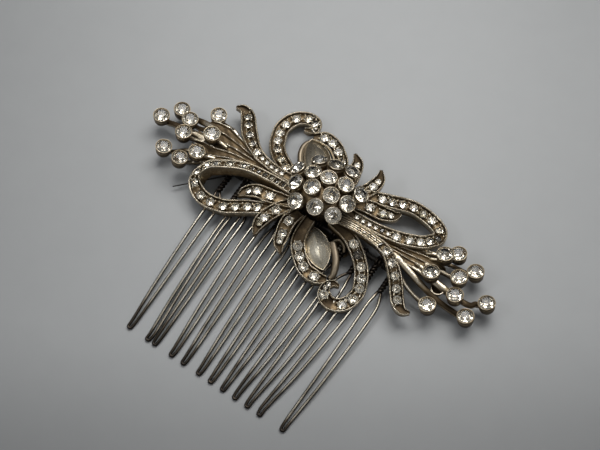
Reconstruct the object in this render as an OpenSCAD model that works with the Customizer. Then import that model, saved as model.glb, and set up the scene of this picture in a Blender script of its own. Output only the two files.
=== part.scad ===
// Decorative hair comb: a wire comb of twelve twisted hairpin teeth carrying a
// domed cast ornament of stone-set ribbons, leaves, scrolls and flower sprays.
// Millimetres. The comb lies on its back: +Z is up, +X runs along the comb
// spine, +Y points from the tooth tips towards the ornament. The two halves of
// the ornament are the same castings turned by 180 degrees about its middle,
// bent a little differently in use.

/* [Comb] */
// Distance between neighbouring tooth stems along the spine
tooth_pitch = 4.35; // [4.2:0.05:4.5]
// Diameter of the tooth wire
wire_d = 0.76; // [0.6:0.02:0.8]
// Distance from the spine to the tooth tips
tooth_length = 47.5; // [44:0.5:52]
// Turns of twist in each tooth stem
stem_turns = 3; // [2:1:4]
// Diameter of the round spine wire
spine_d = 1.5; // [1.2:0.1:1.8]
// Diameter of the thin binding wire
binding_d = 0.4; // [0.3:0.05:0.5]

/* [Ornament] */
// Width of the raised rim along each ribbon edge
rim_w = 0.5; // [0.4:0.05:0.6]
// Depth of the recessed ribbon floor below its rims
floor_d = 0.35; // [0.25:0.05:0.5]
// Radius of the larger ribbon stones
pave_r = 1.1; // [0.9:0.05:1.2]
// Radius of the small channel stones
channel_r = 0.55; // [0.4:0.05:0.6]
// Radius of the round stones held in cups
cup_stone_r = 1.85; // [1.7:0.05:1.95]
// Wall thickness of the stone cups
cup_wall = 0.22; // [0.15:0.01:0.3]
// Height of the stone cups
cup_h = 2.3; // [2:0.1:2.6]

/* [Cluster] */
// Radius of the sphere that the cluster stones stand on
dome_r = 12; // [11.5:0.1:12.5]
// Radius of the middle of the cluster plate, between its stone lobes
dome_plate_r = 6; // [5.8:0.1:6.6]

/* [Marquise] */
// Length of the pointed oval stones
marq_l = 11.4; // [10:0.1:11.6]
// Width of the lower pointed oval stone, in mm; the upper one is 1.2 wider
marq_w = 5.8; // [5:0.1:6]

/* [Back] */
// Length of the flat back plate
plate_l = 24; // [20:0.5:26]
// Width of the flat back plate
plate_w = 11; // [10:0.5:12]

/* [Hidden] */

// The part is moved as one so that the middle of its footprint is the origin
off_x = 0.2;
off_y = 14.73;

silver = [0.66, 0.64, 0.58];
bright = [0.78, 0.77, 0.74];
dark = [0.22, 0.21, 0.2];
wire_c = [0.6, 0.59, 0.57];
stone_c = [0.9, 0.92, 0.94];
smoky_c = [0.62, 0.6, 0.52];

spine_y = -3.3;
spine_z = 2.6;
wr = wire_d / 2;
tip_y = spine_y - tooth_length;
stem_end = -10;
twist_r = wr + 0.05;
// Tooth shape, one value per tooth: tip and the two strands below the arch
TIP_X = [-21.5, -16, -14, -9, -5.5, -1, 2.5, 6, 9.5, 13, 16.5, 23];
// Loose end of the left binding wire
TAIL = [[-21.5, -3, 1.6], [-24.5, -4.5, 1.3], [-28.5, -8.5, 1.2], [-34.5, -15, 1.6]];
LEFT_X = [-24, -18.5, -15.5, -11.5, -7.5, -3, 1, 5, 9.5, 13, 18, 23];
RIGHT_X = [-21.5, -17.5, -14, -9.5, -5.5, -1, 3, 7.5, 12, 16, 20.5, 25.5];

// Ribbons of the right and lower half: x, y, top z, width, height
LOOP_R = [[5, 6, 8, 3, 3], [10, 8.5, 7.5, 3.4, 3], [14.5, 10.5, 6.5, 3.8, 3],
    [19.5, 12.7, 5, 3.8, 3], [24.8, 12.5, 4.5, 3.8, 3], [28, 11, 5, 3.6, 3],
    [28.8, 8.8, 6, 3.6, 3], [27.9, 6.8, 7.3, 3.6, 3], [26, 4.8, 8, 3.5, 3],
    [20.5, 2.5, 8.5, 3.3, 3], [13, 1.5, 8.5, 2.6, 3], [5, 1.5, 8.5, 2.6, 3]];
LOOP_L = [[5, 6, 8, 3, 3, 0], [10, 8.5, 7.5, 3.4, 3, 0], [14.5, 10.5, 6.5, 3.8, 3, 0],
    [20, 13.2, 5, 3.8, 3, 0], [25.5, 14, 4.5, 3.8, 3, 5], [29.3, 12.4, 5.2, 3.4, 3, 22],
    [30.2, 10.2, 6.3, 3.4, 3, 38], [29.3, 7.8, 7.4, 3.4, 3, 40], [27.5, 6, 8, 3.5, 2.8, 34],
    [20.7, 2.6, 8.6, 3.3, 2.6, 28], [13, 1.5, 8.5, 2.6, 3, 18], [5, 1.5, 8.5, 2.6, 3, 8]];
PLUME_R = [[5, -1.5, 8.5, 2.4, 2.6], [10, -1, 8.5, 2.4, 2.6], [15, -1, 8.5, 2.4, 2.6],
    [20.5, -2, 8.5, 2.8, 2.6], [25.3, -5.7, 7, 3.4, 2.6], [28.8, -10, 5.5, 3.4, 2.4],
    [31, -11.5, 5.3, 2.4, 2.2], [33, -11, 5.2, 0.6, 1.6]];
PLUME_L = [[5, -1.5, 8.5, 2.4, 2.6], [10, -1, 8.5, 2.4, 2.6], [15, -1, 8.5, 2.4, 2.6],
    [20.3, -2.3, 8.5, 3, 2.6], [25.1, -5.9, 7, 4.2, 2.6], [28.8, -10.3, 5.5, 3.8, 2.4],
    [31, -11.6, 5.3, 2.6, 2.2], [33, -11, 5.2, 0.6, 1.6]];
SCROLL_D = [[5, -2.5, 8.2, 3, 3], [9.5, -3, 7, 3.4, 2.8], [12.5, -4, 6, 3.6, 2.6],
    [17, -7.5, 4.5, 3.6, 2.4], [19.5, -12, 3.4, 3.6, 2.2], [19.5, -15, 3, 3.6, 2.2],
    [18.2, -17.6, 3, 3.6, 2.2], [15.6, -19, 3.4, 3.6, 2.2], [13.3, -18.2, 4, 3.4, 2.2],
    [12.7, -16.2, 4.9, 2.4, 2], [13.9, -15, 5.4, 1.6, 2], [15.4, -14.9, 5.6, 0.7, 1.8]];
SCROLL_U = [[5, -2.5, 8.2, 3, 3], [9.5, -3, 7, 3.4, 2.8], [12.8, -3.9, 6, 3.8, 2.6],
    [17.7, -7.3, 4.5, 4.2, 2.4], [20.1, -12, 3.4, 4.2, 2.2], [20.3, -15, 3, 4.2, 2.2],
    [19, -17.8, 3, 4, 2.2], [16.3, -19.4, 3.3, 3.8, 2.2], [13.9, -19, 3.8, 3.4, 2.2],
    [12.9, -17.2, 4.6, 2.4, 2], [13.8, -15.8, 5.2, 1.6, 2], [15, -15.3, 5.4, 0.7, 1.8]];
CRESCENT_D = [[0.5, -5, 8.2, 3, 2.8], [0.5, -9, 7, 3.4, 2.8], [1.5, -12, 6, 3.6, 2.8],
    [5.5, -15.5, 5.5, 3.6, 2.6], [9, -16, 5.3, 3.6, 2.6], [11.8, -15.2, 5, 2, 2.6]];
CRESCENT_U = [[0.5, -5, 8.2, 3, 2.8], [0.5, -9, 7, 3.4, 2.8], [2, -12.7, 6, 3.6, 2.8],
    [5.6, -15.7, 5.5, 3.6, 2.6], [9.2, -16.3, 5.3, 3.6, 2.6], [11.9, -15.1, 5, 2, 2.6]];
BAR_D = [[7.8, -6.2, 5.8, 1.6, 1.8], [9.2, -7.5, 5.6, 1.7, 1.8], [10.8, -9.2, 5.4, 1.7, 1.8],
    [11.8, -11, 5.2, 1.7, 1.8], [12.4, -12.9, 4.8, 1.6, 1.8], [12.1, -14.3, 4.4, 1.2, 1.8]];
BAR_U = [[10.2, -6.7, 5.6, 1.3, 1.8], [11.4, -8.2, 5.4, 1.4, 1.8], [12.3, -9.9, 5.2, 1.4, 1.8],
    [12.7, -12, 4.8, 1.3, 1.8], [12.3, -13.8, 4.4, 1, 1.8]];
LEAF_OUTER_D = [[-5, -3.5, 8.2, 3, 2.4], [-7.5, -7.5, 8.2, 3.6, 2.4], [-9, -11, 7.8, 3.6, 2.2],
    [-9.2, -13.5, 7.6, 2.4, 2], [-8.5, -16, 7.5, 0.6, 1.6]];
LEAF_OUTER_U = [[-5, -3.5, 8.2, 3, 2.4], [-7.4, -7.6, 8.2, 3.6, 2.4], [-8.6, -10.9, 7.8, 3.6, 2.2],
    [-8.8, -13.4, 7.6, 2.4, 2], [-7.8, -15.8, 7.5, 0.6, 1.6]];
LEAF_MIDDLE_D = [[-2.5, -5, 8.2, 3, 2.4], [-3.5, -8.5, 8.2, 3.8, 2.4], [-3, -12, 7.8, 3.6, 2.2],
    [-2.2, -14.5, 7.6, 2.4, 2], [-0.6, -16.3, 7.5, 0.6, 1.6]];
LEAF_MIDDLE_U = [[-2.3, -5, 8.2, 3, 2.4], [-3, -8.2, 8.2, 3.8, 2.4], [-2.6, -11.7, 7.8, 3.6, 2.2],
    [-1.8, -14.2, 7.6, 2.4, 2], [0.1, -15.9, 7.5, 0.6, 1.6]];
LEAF_INNER_R = [[5, 4, 8.2, 3, 2.4], [11, 5.5, 8.2, 3.8, 2.4], [14.5, 6, 8, 3.8, 2.4],
    [17, 7, 7.8, 2.4, 2], [18.2, 8.5, 7.6, 0.6, 1.6]];
LEAF_INNER_L = [[5, 4, 8.2, 3, 2.4], [11, 5.6, 8.2, 3.8, 2.4], [14.5, 6.2, 8, 3.6, 2.4],
    [16.8, 7.7, 7.6, 2.4, 2], [17.8, 9.6, 7.2, 0.6, 1.6]];

// Cup stones of a spray: x, y, top z of the cup
SPRAY_R = [[46.8, 1.3, 5.5], [44.3, -4.2, 5], [40.6, 6.7, 5.5], [34.9, 7.9, 6.5],
    [32.5, 5.1, 9], [38.2, 2.5, 7.5], [32, -0.6, 9], [39.6, -1.7, 7], [35.3, -7.1, 6]];
SPRAY_L = [[47.2, 1.8, 6], [44, -2.7, 5.5], [41.6, 8.4, 5.5], [35.9, 9.1, 7],
    [32.8, 5.9, 8.5], [39, 3.2, 8], [32.4, 0, 9], [40.1, -1, 7], [35.1, -6.4, 6]];
spray_tilt = -8;
// Where each stalk bends on its way to its cup: x, y, top z
BEND_R = [[41, -1.4, 5], [34.4, -4.1, 5.2], [34.5, 4.6, 5.8], [29, 4.6, 6.2], [27, 3.4, 7],
    [31, 1.6, 6.6], [27, 0.2, 7.2], [33, -1.6, 6], [27.9, -5.4, 5.5]];
BEND_L = [[41, 1.4, 5.2], [35, -2.6, 6], [34.5, 5.2, 5.8], [29, 5.6, 6.4], [27, 3.4, 7],
    [32, 1.8, 6.8], [27, 0.2, 7.2], [33, -1, 6.4], [28.5, -4.6, 6.4]];
// Fan plate of a spray: x, lower edge, upper edge, top z
FAN_R = [[16, -1, 1, 7.4], [21, -1.2, 1.8, 7.2], [25.5, -1.7, 3.6, 6.8], [29, -1.6, 4.8, 6.4],
    [31.5, -1, 5.2, 6.1], [34, 0.4, 4.4, 5.8], [35, 1.4, 3.4, 5.6]];
FAN_L = [[16, -1, 1, 7.4], [21, -2, 2.2, 7.2], [26, -3.8, 4.4, 6.8], [30.5, -5.2, 7.2, 6.3],
    [33.5, -5, 7.6, 6], [36, -4.2, 5.2, 5.8], [37.6, -2.6, 1.5, 5.6]];

// Cluster stones: x, y on the dome
dome_x = 0.5;
dome_y = 1.5;
dome_top = 13;
CLUSTER = [[-8.8, 3.2], [-4.4, 3.4], [-5.3, 7.6], [-0.9, 8.4], [3.2, 9.4], [-6.8, -0.9],
    [-0.2, 3.9], [4.1, 4.9], [-2.2, -0.4], [8.2, 5.6], [2.9, 0.3], [-4, -5],
    [7.1, 1.1], [1.1, -4.1], [5.8, -3.3]];

// Pointed oval stones: x, y, turn, width
MARQ_D = [5.5, -9.4, -43, marq_w];
MARQ_U = [7.9, -10.3, -46, marq_w + 1.2];
marq_z = 4.4;

function cr(a, b, c, d, t) = 0.5 * (2 * b + (c - a) * t + (2 * a - 5 * b + 4 * c - d) * t * t
    + (3 * b - a - 3 * c + d) * t * t * t);
function at(P, u) = let (n = len(P), i = min(floor(u), n - 2), t = u - i)
    cr(i > 0 ? P[i - 1] : 2 * P[0] - P[1], P[i], P[i + 1], i < n - 2 ? P[i + 2] : 2 * P[n - 1] - P[n - 2], t);
function curve(P, k) = [for (i = [0:(len(P) - 1) * k]) at(P, i / k)];
function unit(v) = v / norm(v);
function dir(Q, i) = unit(Q[min(i + 1, len(Q) - 1)] - Q[max(i - 1, 0)]);
function roll(p) = len(p) > 5 ? p[5] : 0;

// Closed solid through equal rings of points, with its end faces as triangles
module skin(R, ends) {
    n = len(R[0]);
    m = len(R);
    polyhedron(
        points = [for (r = R) for (p = r) p],
        faces = concat(
            [for (i = [0:m - 2]) for (j = [0:n - 1]) [i * n + j, (i + 1) * n + j, i * n + (j + 1) % n]],
            [for (i = [0:m - 2]) for (j = [0:n - 1]) [(i + 1) * n + j, (i + 1) * n + (j + 1) % n, i * n + (j + 1) % n]],
            [for (e = ends) [e[0], e[1], e[2]]],
            [for (e = ends) [(m - 1) * n + e[2], (m - 1) * n + e[1], (m - 1) * n + e[0]]]),
        convexity = 8);
}

// Ribbon with two raised rims and a sunk floor between them
module ribbon(P, k = 4) {
    Q = curve(P, k);
    R = [for (i = [0:len(Q) - 1]) let (
        p = Q[i], q = dir([for (v = Q) [v[0], v[1]]], i), s = [q[1], -q[0]], w = p[3] / 2, r = min(rim_w, w * 0.4), d = min(floor_d, w * 0.3),
        a = roll(p), S = [[-w * 0.86, -p[4]], [-w, 0], [r - w, 0], [r - w, -d], [w - r, -d], [w - r, 0], [w, 0], [w * 0.86, -p[4]]])
        [for (c = S) let (k = c[0] * cos(a) - c[1] * sin(a)) [p[0] + s[0] * k, p[1] + s[1] * k, p[2] + c[0] * sin(a) + c[1] * cos(a)]]];
    skin(R, [[0, 1, 2], [0, 2, 3], [0, 3, 4], [0, 4, 7], [7, 4, 5], [7, 5, 6]]);
}

// Plain bar with a rounded top
module rod_bar(P, k = 4) {
    Q = curve(P, k);
    R = [for (i = [0:len(Q) - 1]) let (
        p = Q[i], q = dir([for (v = Q) [v[0], v[1]]], i), s = [q[1], -q[0]], w = p[3] / 2,
        S = [[-w, -p[4]], [-w, -0.5], [-w * 0.5, 0], [w * 0.5, 0], [w, -0.5], [w, -p[4]]])
        [for (c = S) [p[0] + s[0] * c[0], p[1] + s[1] * c[0], p[2] + c[1]]]];
    skin(R, [[0, 1, 2], [0, 2, 3], [0, 3, 4], [0, 4, 5]]);
}

// Round wire through a list of points
module wire(Q, r, n = 6) {
    R = [for (i = [0:len(Q) - 1]) let (t = dir(Q, i), a = unit(cross(t, [0, 0, 1])), b = cross(t, a))
        [for (j = [0:n - 1]) Q[i] + r * (cos(j * 360 / n) * a + sin(j * 360 / n) * b)]];
    skin(R, [for (j = [1:n - 2]) [0, j, j + 1]]);
}

module half(lower) rotate([0, 0, lower ? 0 : 180]) children();

// Places a child at a point of a ribbon, square to its roll
module on_ribbon(P, t) {
    p = at(P, t);
    q = at(P, min(t + 0.05, len(P) - 1)) - at(P, max(t - 0.05, 0));
    translate([p[0], p[1], p[2]]) rotate(a = -roll(p), v = [q[0], q[1], 0]) translate([0, 0, -floor_d]) children();
}
// Straight bores for stones along a ribbon, and the stones themselves
module seats(P, T, r) for (t = T) on_ribbon(P, t) translate([0, 0, -0.6]) cylinder(h = 4, r = r, $fn = 24);
module gem(r) rotate_extrude($fn = 24)
    polygon([[0, -0.6], [r * 0.5, -0.6], [r, -0.1], [r, 0.1], [r * 0.55, r * 0.42], [0, r * 0.42]]);
module gems(P, T, r) for (t = T) on_ribbon(P, t) gem(r);

LOOP_T_R = [1.5, 2, 2.5, 3, 3.5, 4, 4.9, 6.05, 7.2, 8, 8.5, 9];
LOOP_T_L = [1.5, 2, 2.5, 3, 3.6, 4.2, 5.1, 6.2, 7.4, 8.1, 8.55, 9];
loop_small_t = [for (i = [0:5]) 9.3 + 0.22 * i];
plume_t = [3, 3.5, 4, 4.5, 5];
plume_small_t = [for (i = [0:4]) 1.4 + 0.3 * i];
SCROLL_T_D = [2, 2.5, 3, 3.5, 4, 5, 6, 8];
SCROLL_T_U = [2, 2.5, 3, 3.5, 4, 5, 6, 7, 8];
CRESCENT_T_D = [2, 2.5, 3, 4];
CRESCENT_T_U = [2.05, 2.65, 3.35, 4.05];

module back_plate() {
    color(dark) translate([-plate_l / 2, -plate_w / 2 - 1.5, 0]) cube([plate_l, plate_w, 1]);
}

module comb_spine() {
    color(dark) translate([-26, spine_y, spine_z]) rotate([0, 90, 0]) cylinder(h = 52, d = spine_d, $fn = 32);
}

function stem_x(i) = (i - 5.5) * tooth_pitch;
function wire_z(y) = wr + (spine_z - wr) * (y - tip_y) / (spine_y - tip_y);
function stem_path(i, ph) = [for (k = [0:stem_turns * 6]) let (s = k / (stem_turns * 6), a = ph + 360 * stem_turns * s,
    y = spine_y - spine_d / 2 - wr + (stem_end - spine_y + spine_d / 2 + wr) * s)
    [stem_x(i) + twist_r * cos(a), y, wire_z(y) + twist_r * sin(a)]];
function strand_path(i, side, x) = let (
    P = [[stem_x(i) + side * twist_r, stem_end], [stem_x(i) * 0.4 + x * 0.6 + side * 0.1, stem_end - 1.6],
        [x, stem_end - 4], [x, stem_end - 9], [x * 0.75 + (TIP_X[i] + side * 0.6) * 0.25, -29],
        [x * 0.4 + (TIP_X[i] + side * 0.6) * 0.6, -39], [TIP_X[i] + side * 0.55, tip_y + 3], [TIP_X[i] + side * 0.45, tip_y + 0.8]])
    [for (j = [1:(len(P) - 1) * 2]) let (p = at(P, j / 2)) [p[0], p[1], wire_z(p[1])]];
function back(L) = [for (i = [len(L) - 1:-1:0]) L[i]];
module tooth(i) color(wire_c) {
    wire(concat(stem_path(i, 180), strand_path(i, -1, LEFT_X[i]),
        [[TIP_X[i] - 0.25, tip_y + 0.45, wr], [TIP_X[i], tip_y + 0.38, wr], [TIP_X[i] + 0.25, tip_y + 0.45, wr]],
        back(strand_path(i, 1, RIGHT_X[i])), back(stem_path(i, 0))), wr, 6);
    for (s = [-1, 1]) translate([stem_x(i) + s * (wr + 0.04), spine_y, spine_z]) rotate([0, 90, 0])
        rotate_extrude($fn = 32) translate([spine_d / 2 + wr - 0.01, 0]) circle(r = wr, $fn = 16);
}
module tooth_01() tooth(0);
module tooth_02() tooth(1);
module tooth_03() tooth(2);
module tooth_04() tooth(3);
module tooth_05() tooth(4);
module tooth_06() tooth(5);
module tooth_07() tooth(6);
module tooth_08() tooth(7);
module tooth_09() tooth(8);
module tooth_10() tooth(9);
module tooth_11() tooth(10);
module tooth_12() tooth(11);

module coil(x, n) for (i = [0:n - 1]) translate([x + i * binding_d, spine_y, spine_z]) rotate([0, 90, 0])
    rotate_extrude($fn = 32) translate([spine_d / 2 + binding_d / 2 - 0.01, 0]) circle(d = binding_d + 0.02, $fn = 16);
module binding_left() color(dark) {
    coil(-22.8, 6);
    wire([for (k = [0:6]) at(TAIL, k / 2)], binding_d / 2, 6);
}
module binding_right() color(dark) coil(20.8, 6);

module center_post() {
    color(silver) difference() {
        translate([0, 1.5, 1]) cylinder(h = 8, r = 5.5, $fn = 48);
        translate([-10, spine_y - 3, 0]) cube([20, 4.6, 4.2]);
    }
}
module dome_ball(r) translate([dome_x, dome_y, dome_top - dome_r]) sphere(r = r, $fn = 64);
module cluster_plate() {
    color(silver) intersection() {
        difference() {
            dome_ball(dome_r);
            translate([0, 0, -10]) translate([dome_x, dome_y, 0]) cylinder(h = 19, r = 20, $fn = 48);
        }
        union() {
            translate([dome_x, dome_y, 0]) cylinder(h = 30, r = dome_plate_r, $fn = 48);
            for (p = CLUSTER) let (k = dome_r / (dome_r + cup_h))
                translate([dome_x + (p[0] - dome_x) * k, dome_y + (p[1] - dome_y) * k, 0]) cylinder(h = 30, r = 1.9, $fn = 32);
        }
    }
}
// Places a child on the dome at a cluster stone, its axis along the dome's radius
module on_dome(p) {
    dx = p[0] - dome_x;
    dy = p[1] - dome_y;
    q = sqrt(dx * dx + dy * dy);
    translate([dome_x, dome_y, dome_top - dome_r])
        rotate([0, 0, atan2(dy, dx)]) rotate([0, asin(min(q / (dome_r + cup_h), 0.72)), 0])
            translate([0, 0, dome_r + cup_h]) children();
}
module cup_body() translate([0, 0, -cup_h]) cylinder(h = cup_h, r1 = cup_stone_r - 0.2, r2 = cup_stone_r + cup_wall, $fn = 32);
module cup_bore() translate([0, 0, -0.3]) rotate_extrude($fn = 32)
    polygon([[0, -1], [0.4, -1], [cup_stone_r, -0.2], [cup_stone_r, 1.5], [0, 1.5]]);
module cup_gem() translate([0, 0, -0.3]) rotate_extrude($fn = 32)
    polygon([[0, -1], [0.4, -1], [cup_stone_r, -0.2], [cup_stone_r, 0.1], [cup_stone_r * 0.55, 0.8], [0, 0.8]]);
module cluster_cups() {
    color(silver) difference() {
        union() for (p = CLUSTER) on_dome(p) cup_body();
        for (p = CLUSTER) on_dome(p) cup_bore();
        dome_ball(dome_r);
    }
}
module cluster_stones() {
    color(stone_c) for (p = CLUSTER) on_dome(p) cup_gem();
}

module loop(P, T) color(silver) difference() {
    ribbon(P, 4);
    seats(P, T, pave_r);
    seats(P, loop_small_t, channel_r);
}
module loop_gems(P, T) color(stone_c) {
    gems(P, T, pave_r);
    gems(P, loop_small_t, channel_r);
}
module loop_right() half(true) loop(LOOP_R, LOOP_T_R);
module loop_left() half(false) loop(LOOP_L, LOOP_T_L);
module loop_stones_right() half(true) loop_gems(LOOP_R, LOOP_T_R);
module loop_stones_left() half(false) loop_gems(LOOP_L, LOOP_T_L);

module plume(P) color(silver) difference() {
    ribbon(P, 4);
    seats(P, plume_t, pave_r);
    seats(P, plume_small_t, channel_r);
}
module plume_gems(P) color(stone_c) {
    gems(P, plume_t, pave_r);
    gems(P, plume_small_t, channel_r);
}
module plume_right() half(true) plume(PLUME_R);
module plume_left() half(false) plume(PLUME_L);
module plume_stones_right() half(true) plume_gems(PLUME_R);
module plume_stones_left() half(false) plume_gems(PLUME_L);

module paved(P, T) color(silver) difference() {
    ribbon(P, 4);
    seats(P, T, pave_r);
}
module scroll_lower() half(true) paved(SCROLL_D, SCROLL_T_D);
module scroll_upper() half(false) paved(SCROLL_U, SCROLL_T_U);
module scroll_stones_lower() half(true) color(stone_c) gems(SCROLL_D, SCROLL_T_D, pave_r);
module scroll_stones_upper() half(false) color(stone_c) gems(SCROLL_U, SCROLL_T_U, pave_r);

module crescent_lower() half(true) paved(CRESCENT_D, CRESCENT_T_D);
module crescent_upper() half(false) paved(CRESCENT_U, CRESCENT_T_U);
module crescent_stones_lower() half(true) color(stone_c) gems(CRESCENT_D, CRESCENT_T_D, pave_r);
module crescent_stones_upper() half(false) color(stone_c) gems(CRESCENT_U, CRESCENT_T_U, pave_r);

module bar_lower() half(true) color(bright) rod_bar(BAR_D);
module bar_upper() half(false) color(bright) rod_bar(BAR_U);

module leaf_outer_lower() half(true) paved(LEAF_OUTER_D, [1.1, 2]);
module leaf_outer_upper() half(false) paved(LEAF_OUTER_U, [1.1, 2]);
module leaf_middle_lower() half(true) paved(LEAF_MIDDLE_D, [1, 2]);
module leaf_middle_upper() half(false) paved(LEAF_MIDDLE_U, [1, 2]);
module leaf_inner_right() half(true) paved(LEAF_INNER_R, [1, 2]);
module leaf_inner_left() half(false) paved(LEAF_INNER_L, [1, 2]);
module leaf_gems(O, M, I) color(stone_c) {
    gems(O, [1.1, 2], pave_r);
    gems(M, [1, 2], pave_r);
    gems(I, [1, 2], pave_r);
}
module leaf_stones_lower() half(true) leaf_gems(LEAF_OUTER_D, LEAF_MIDDLE_D, LEAF_INNER_R);
module leaf_stones_upper() half(false) leaf_gems(LEAF_OUTER_U, LEAF_MIDDLE_U, LEAF_INNER_L);

module on_spray(p) translate(p) rotate([0, spray_tilt, 0]) children();
module spray_fan(F, C, B) color(silver) {
    skin([for (f = F) [[f[0], f[2], f[3] - 1.2], [f[0], f[2], f[3]], [f[0], f[1], f[3]], [f[0], f[1], f[3] - 1.2]]], [[0, 1, 2], [0, 2, 3]]);
    for (i = [0:len(C) - 1]) let (p = C[i], b = B[i], e = unit([p[0] - b[0], p[1] - b[1], 0]), z = min(p[2] - cup_h + 0.3, b[2] + 0.6)) rod_bar([
        [20, p[1] * 0.12, 7.7, 0.9, 1.2], [b[0], b[1], b[2], 0.9, 1.2],
        [p[0] - 2.2 * e[0], p[1] - 2.2 * e[1], z, 1, 1.2], [p[0] - 1.1 * e[0], p[1] - 1.1 * e[1], z - 0.1, 1, 1]], 3);
}
module spray_fan_right() half(true) spray_fan(FAN_R, SPRAY_R, BEND_R);
module spray_fan_left() half(false) spray_fan(FAN_L, SPRAY_L, BEND_L);
module spray_cups(C) color(silver) for (p = C) on_spray(p) difference() {
    cup_body();
    cup_bore();
}
// The right spray also has one lower cup that has lost its stone
module spray_cups_right() half(true) {
    spray_cups(SPRAY_R);
    color(silver) translate([35.2, -1.9, 3.1]) difference() {
        cylinder(h = 2, r = 1.8, $fn = 32);
        translate([0, 0, 0.8]) cylinder(h = 2, r = 1.5, $fn = 32);
    }
}
module spray_cups_left() half(false) spray_cups(SPRAY_L);
module spray_gems(C) color(stone_c) for (p = C) on_spray(p) cup_gem();
module spray_stones_right() half(true) spray_gems(SPRAY_R);
module spray_stones_left() half(false) spray_gems(SPRAY_L);

// Pointed oval prism made by two crossing discs
module oval(l, w, h) {
    r = (l * l + w * w) / (4 * w);
    intersection() {
        translate([0, r - w / 2, 0]) cylinder(h = h, r = r, $fn = 96);
        translate([0, w / 2 - r, 0]) cylinder(h = h, r = r, $fn = 96);
    }
}
module at_marquise(m) translate([m[0], m[1], marq_z]) rotate([0, 0, m[2]]) children();
module marquise_setting(m) color(silver) at_marquise(m) difference() {
    translate([0, 0, -1.2]) oval(marq_l + 0.9, m[3] + 0.6, 1.7);
    oval(marq_l, m[3], 3);
}
module marquise_stone(m) color(smoky_c) at_marquise(m) intersection() {
    oval(marq_l, m[3], 3);
    translate([0, 0, -6.1]) sphere(r = 8.5, $fn = 96);
}
module marquise_setting_lower() half(true) marquise_setting(MARQ_D);
module marquise_setting_upper() half(false) marquise_setting(MARQ_U);
module marquise_stone_lower() half(true) marquise_stone(MARQ_D);
module marquise_stone_upper() half(false) marquise_stone(MARQ_U);

translate([off_x, off_y, 0]) {
    back_plate();
    comb_spine();
    tooth_01();
    tooth_02();
    tooth_03();
    tooth_04();
    tooth_05();
    tooth_06();
    tooth_07();
    tooth_08();
    tooth_09();
    tooth_10();
    tooth_11();
    tooth_12();
    binding_left();
    binding_right();
    center_post();
    cluster_plate();
    cluster_cups();
    cluster_stones();
    loop_right();
    loop_left();
    loop_stones_right();
    loop_stones_left();
    plume_right();
    plume_left();
    plume_stones_right();
    plume_stones_left();
    scroll_lower();
    scroll_upper();
    scroll_stones_lower();
    scroll_stones_upper();
    crescent_lower();
    crescent_upper();
    crescent_stones_lower();
    crescent_stones_upper();
    bar_lower();
    bar_upper();
    leaf_outer_lower();
    leaf_outer_upper();
    leaf_middle_lower();
    leaf_middle_upper();
    leaf_inner_right();
    leaf_inner_left();
    leaf_stones_lower();
    leaf_stones_upper();
    spray_fan_right();
    spray_fan_left();
    spray_cups_right();
    spray_cups_left();
    spray_stones_right();
    spray_stones_left();
    marquise_setting_lower();
    marquise_setting_upper();
    marquise_stone_lower();
    marquise_stone_upper();
}
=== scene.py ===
"""Decorative hair comb: the visual model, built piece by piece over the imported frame."""

import math

import bpy
import numpy as np
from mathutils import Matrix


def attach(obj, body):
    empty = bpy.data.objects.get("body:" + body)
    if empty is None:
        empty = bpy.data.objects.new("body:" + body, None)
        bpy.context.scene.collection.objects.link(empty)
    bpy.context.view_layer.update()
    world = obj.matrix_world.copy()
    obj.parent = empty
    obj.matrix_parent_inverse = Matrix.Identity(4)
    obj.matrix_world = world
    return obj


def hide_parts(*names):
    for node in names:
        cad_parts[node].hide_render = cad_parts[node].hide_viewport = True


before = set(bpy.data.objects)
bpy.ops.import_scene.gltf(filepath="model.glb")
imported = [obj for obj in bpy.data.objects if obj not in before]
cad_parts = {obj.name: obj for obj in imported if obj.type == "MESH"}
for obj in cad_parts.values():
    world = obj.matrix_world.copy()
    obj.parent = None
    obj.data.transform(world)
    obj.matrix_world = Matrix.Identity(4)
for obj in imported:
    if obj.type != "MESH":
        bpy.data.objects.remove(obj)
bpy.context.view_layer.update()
rng = np.random.default_rng(774)
OX, OY = 0.2, 14.73  # where the ornament's middle lies in the row frame, mm
TAU = 2 * math.pi

# ---------------------------------------------------------------- layout, mm
TOOTH_PITCH, WIRE_D, TOOTH_LENGTH, STEM_TURNS = 4.35, 0.76, 47.5, 3
SPINE_D, SPINE_Y, SPINE_Z = 1.5, -3.3, 2.6
WR = WIRE_D / 2
TIP_Y = SPINE_Y - TOOTH_LENGTH
STEM_END, TWIST_R = -10.0, WR + 0.05
TIP_X = [-21.5, -16, -14, -9, -5.5, -1, 2.5, 6, 9.5, 13, 16.5, 23]
LEFT_X = [-24, -18.5, -15.5, -11.5, -7.5, -3, 1, 5, 9.5, 13, 18, 23]
RIGHT_X = [-21.5, -17.5, -14, -9.5, -5.5, -1, 3, 7.5, 12, 16, 20.5, 25.5]
TAIL = [[-21.5, -3, 1.6], [-24.5, -4.5, 1.3], [-28.5, -8.5, 1.2], [-34.5, -15, 1.6]]

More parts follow.
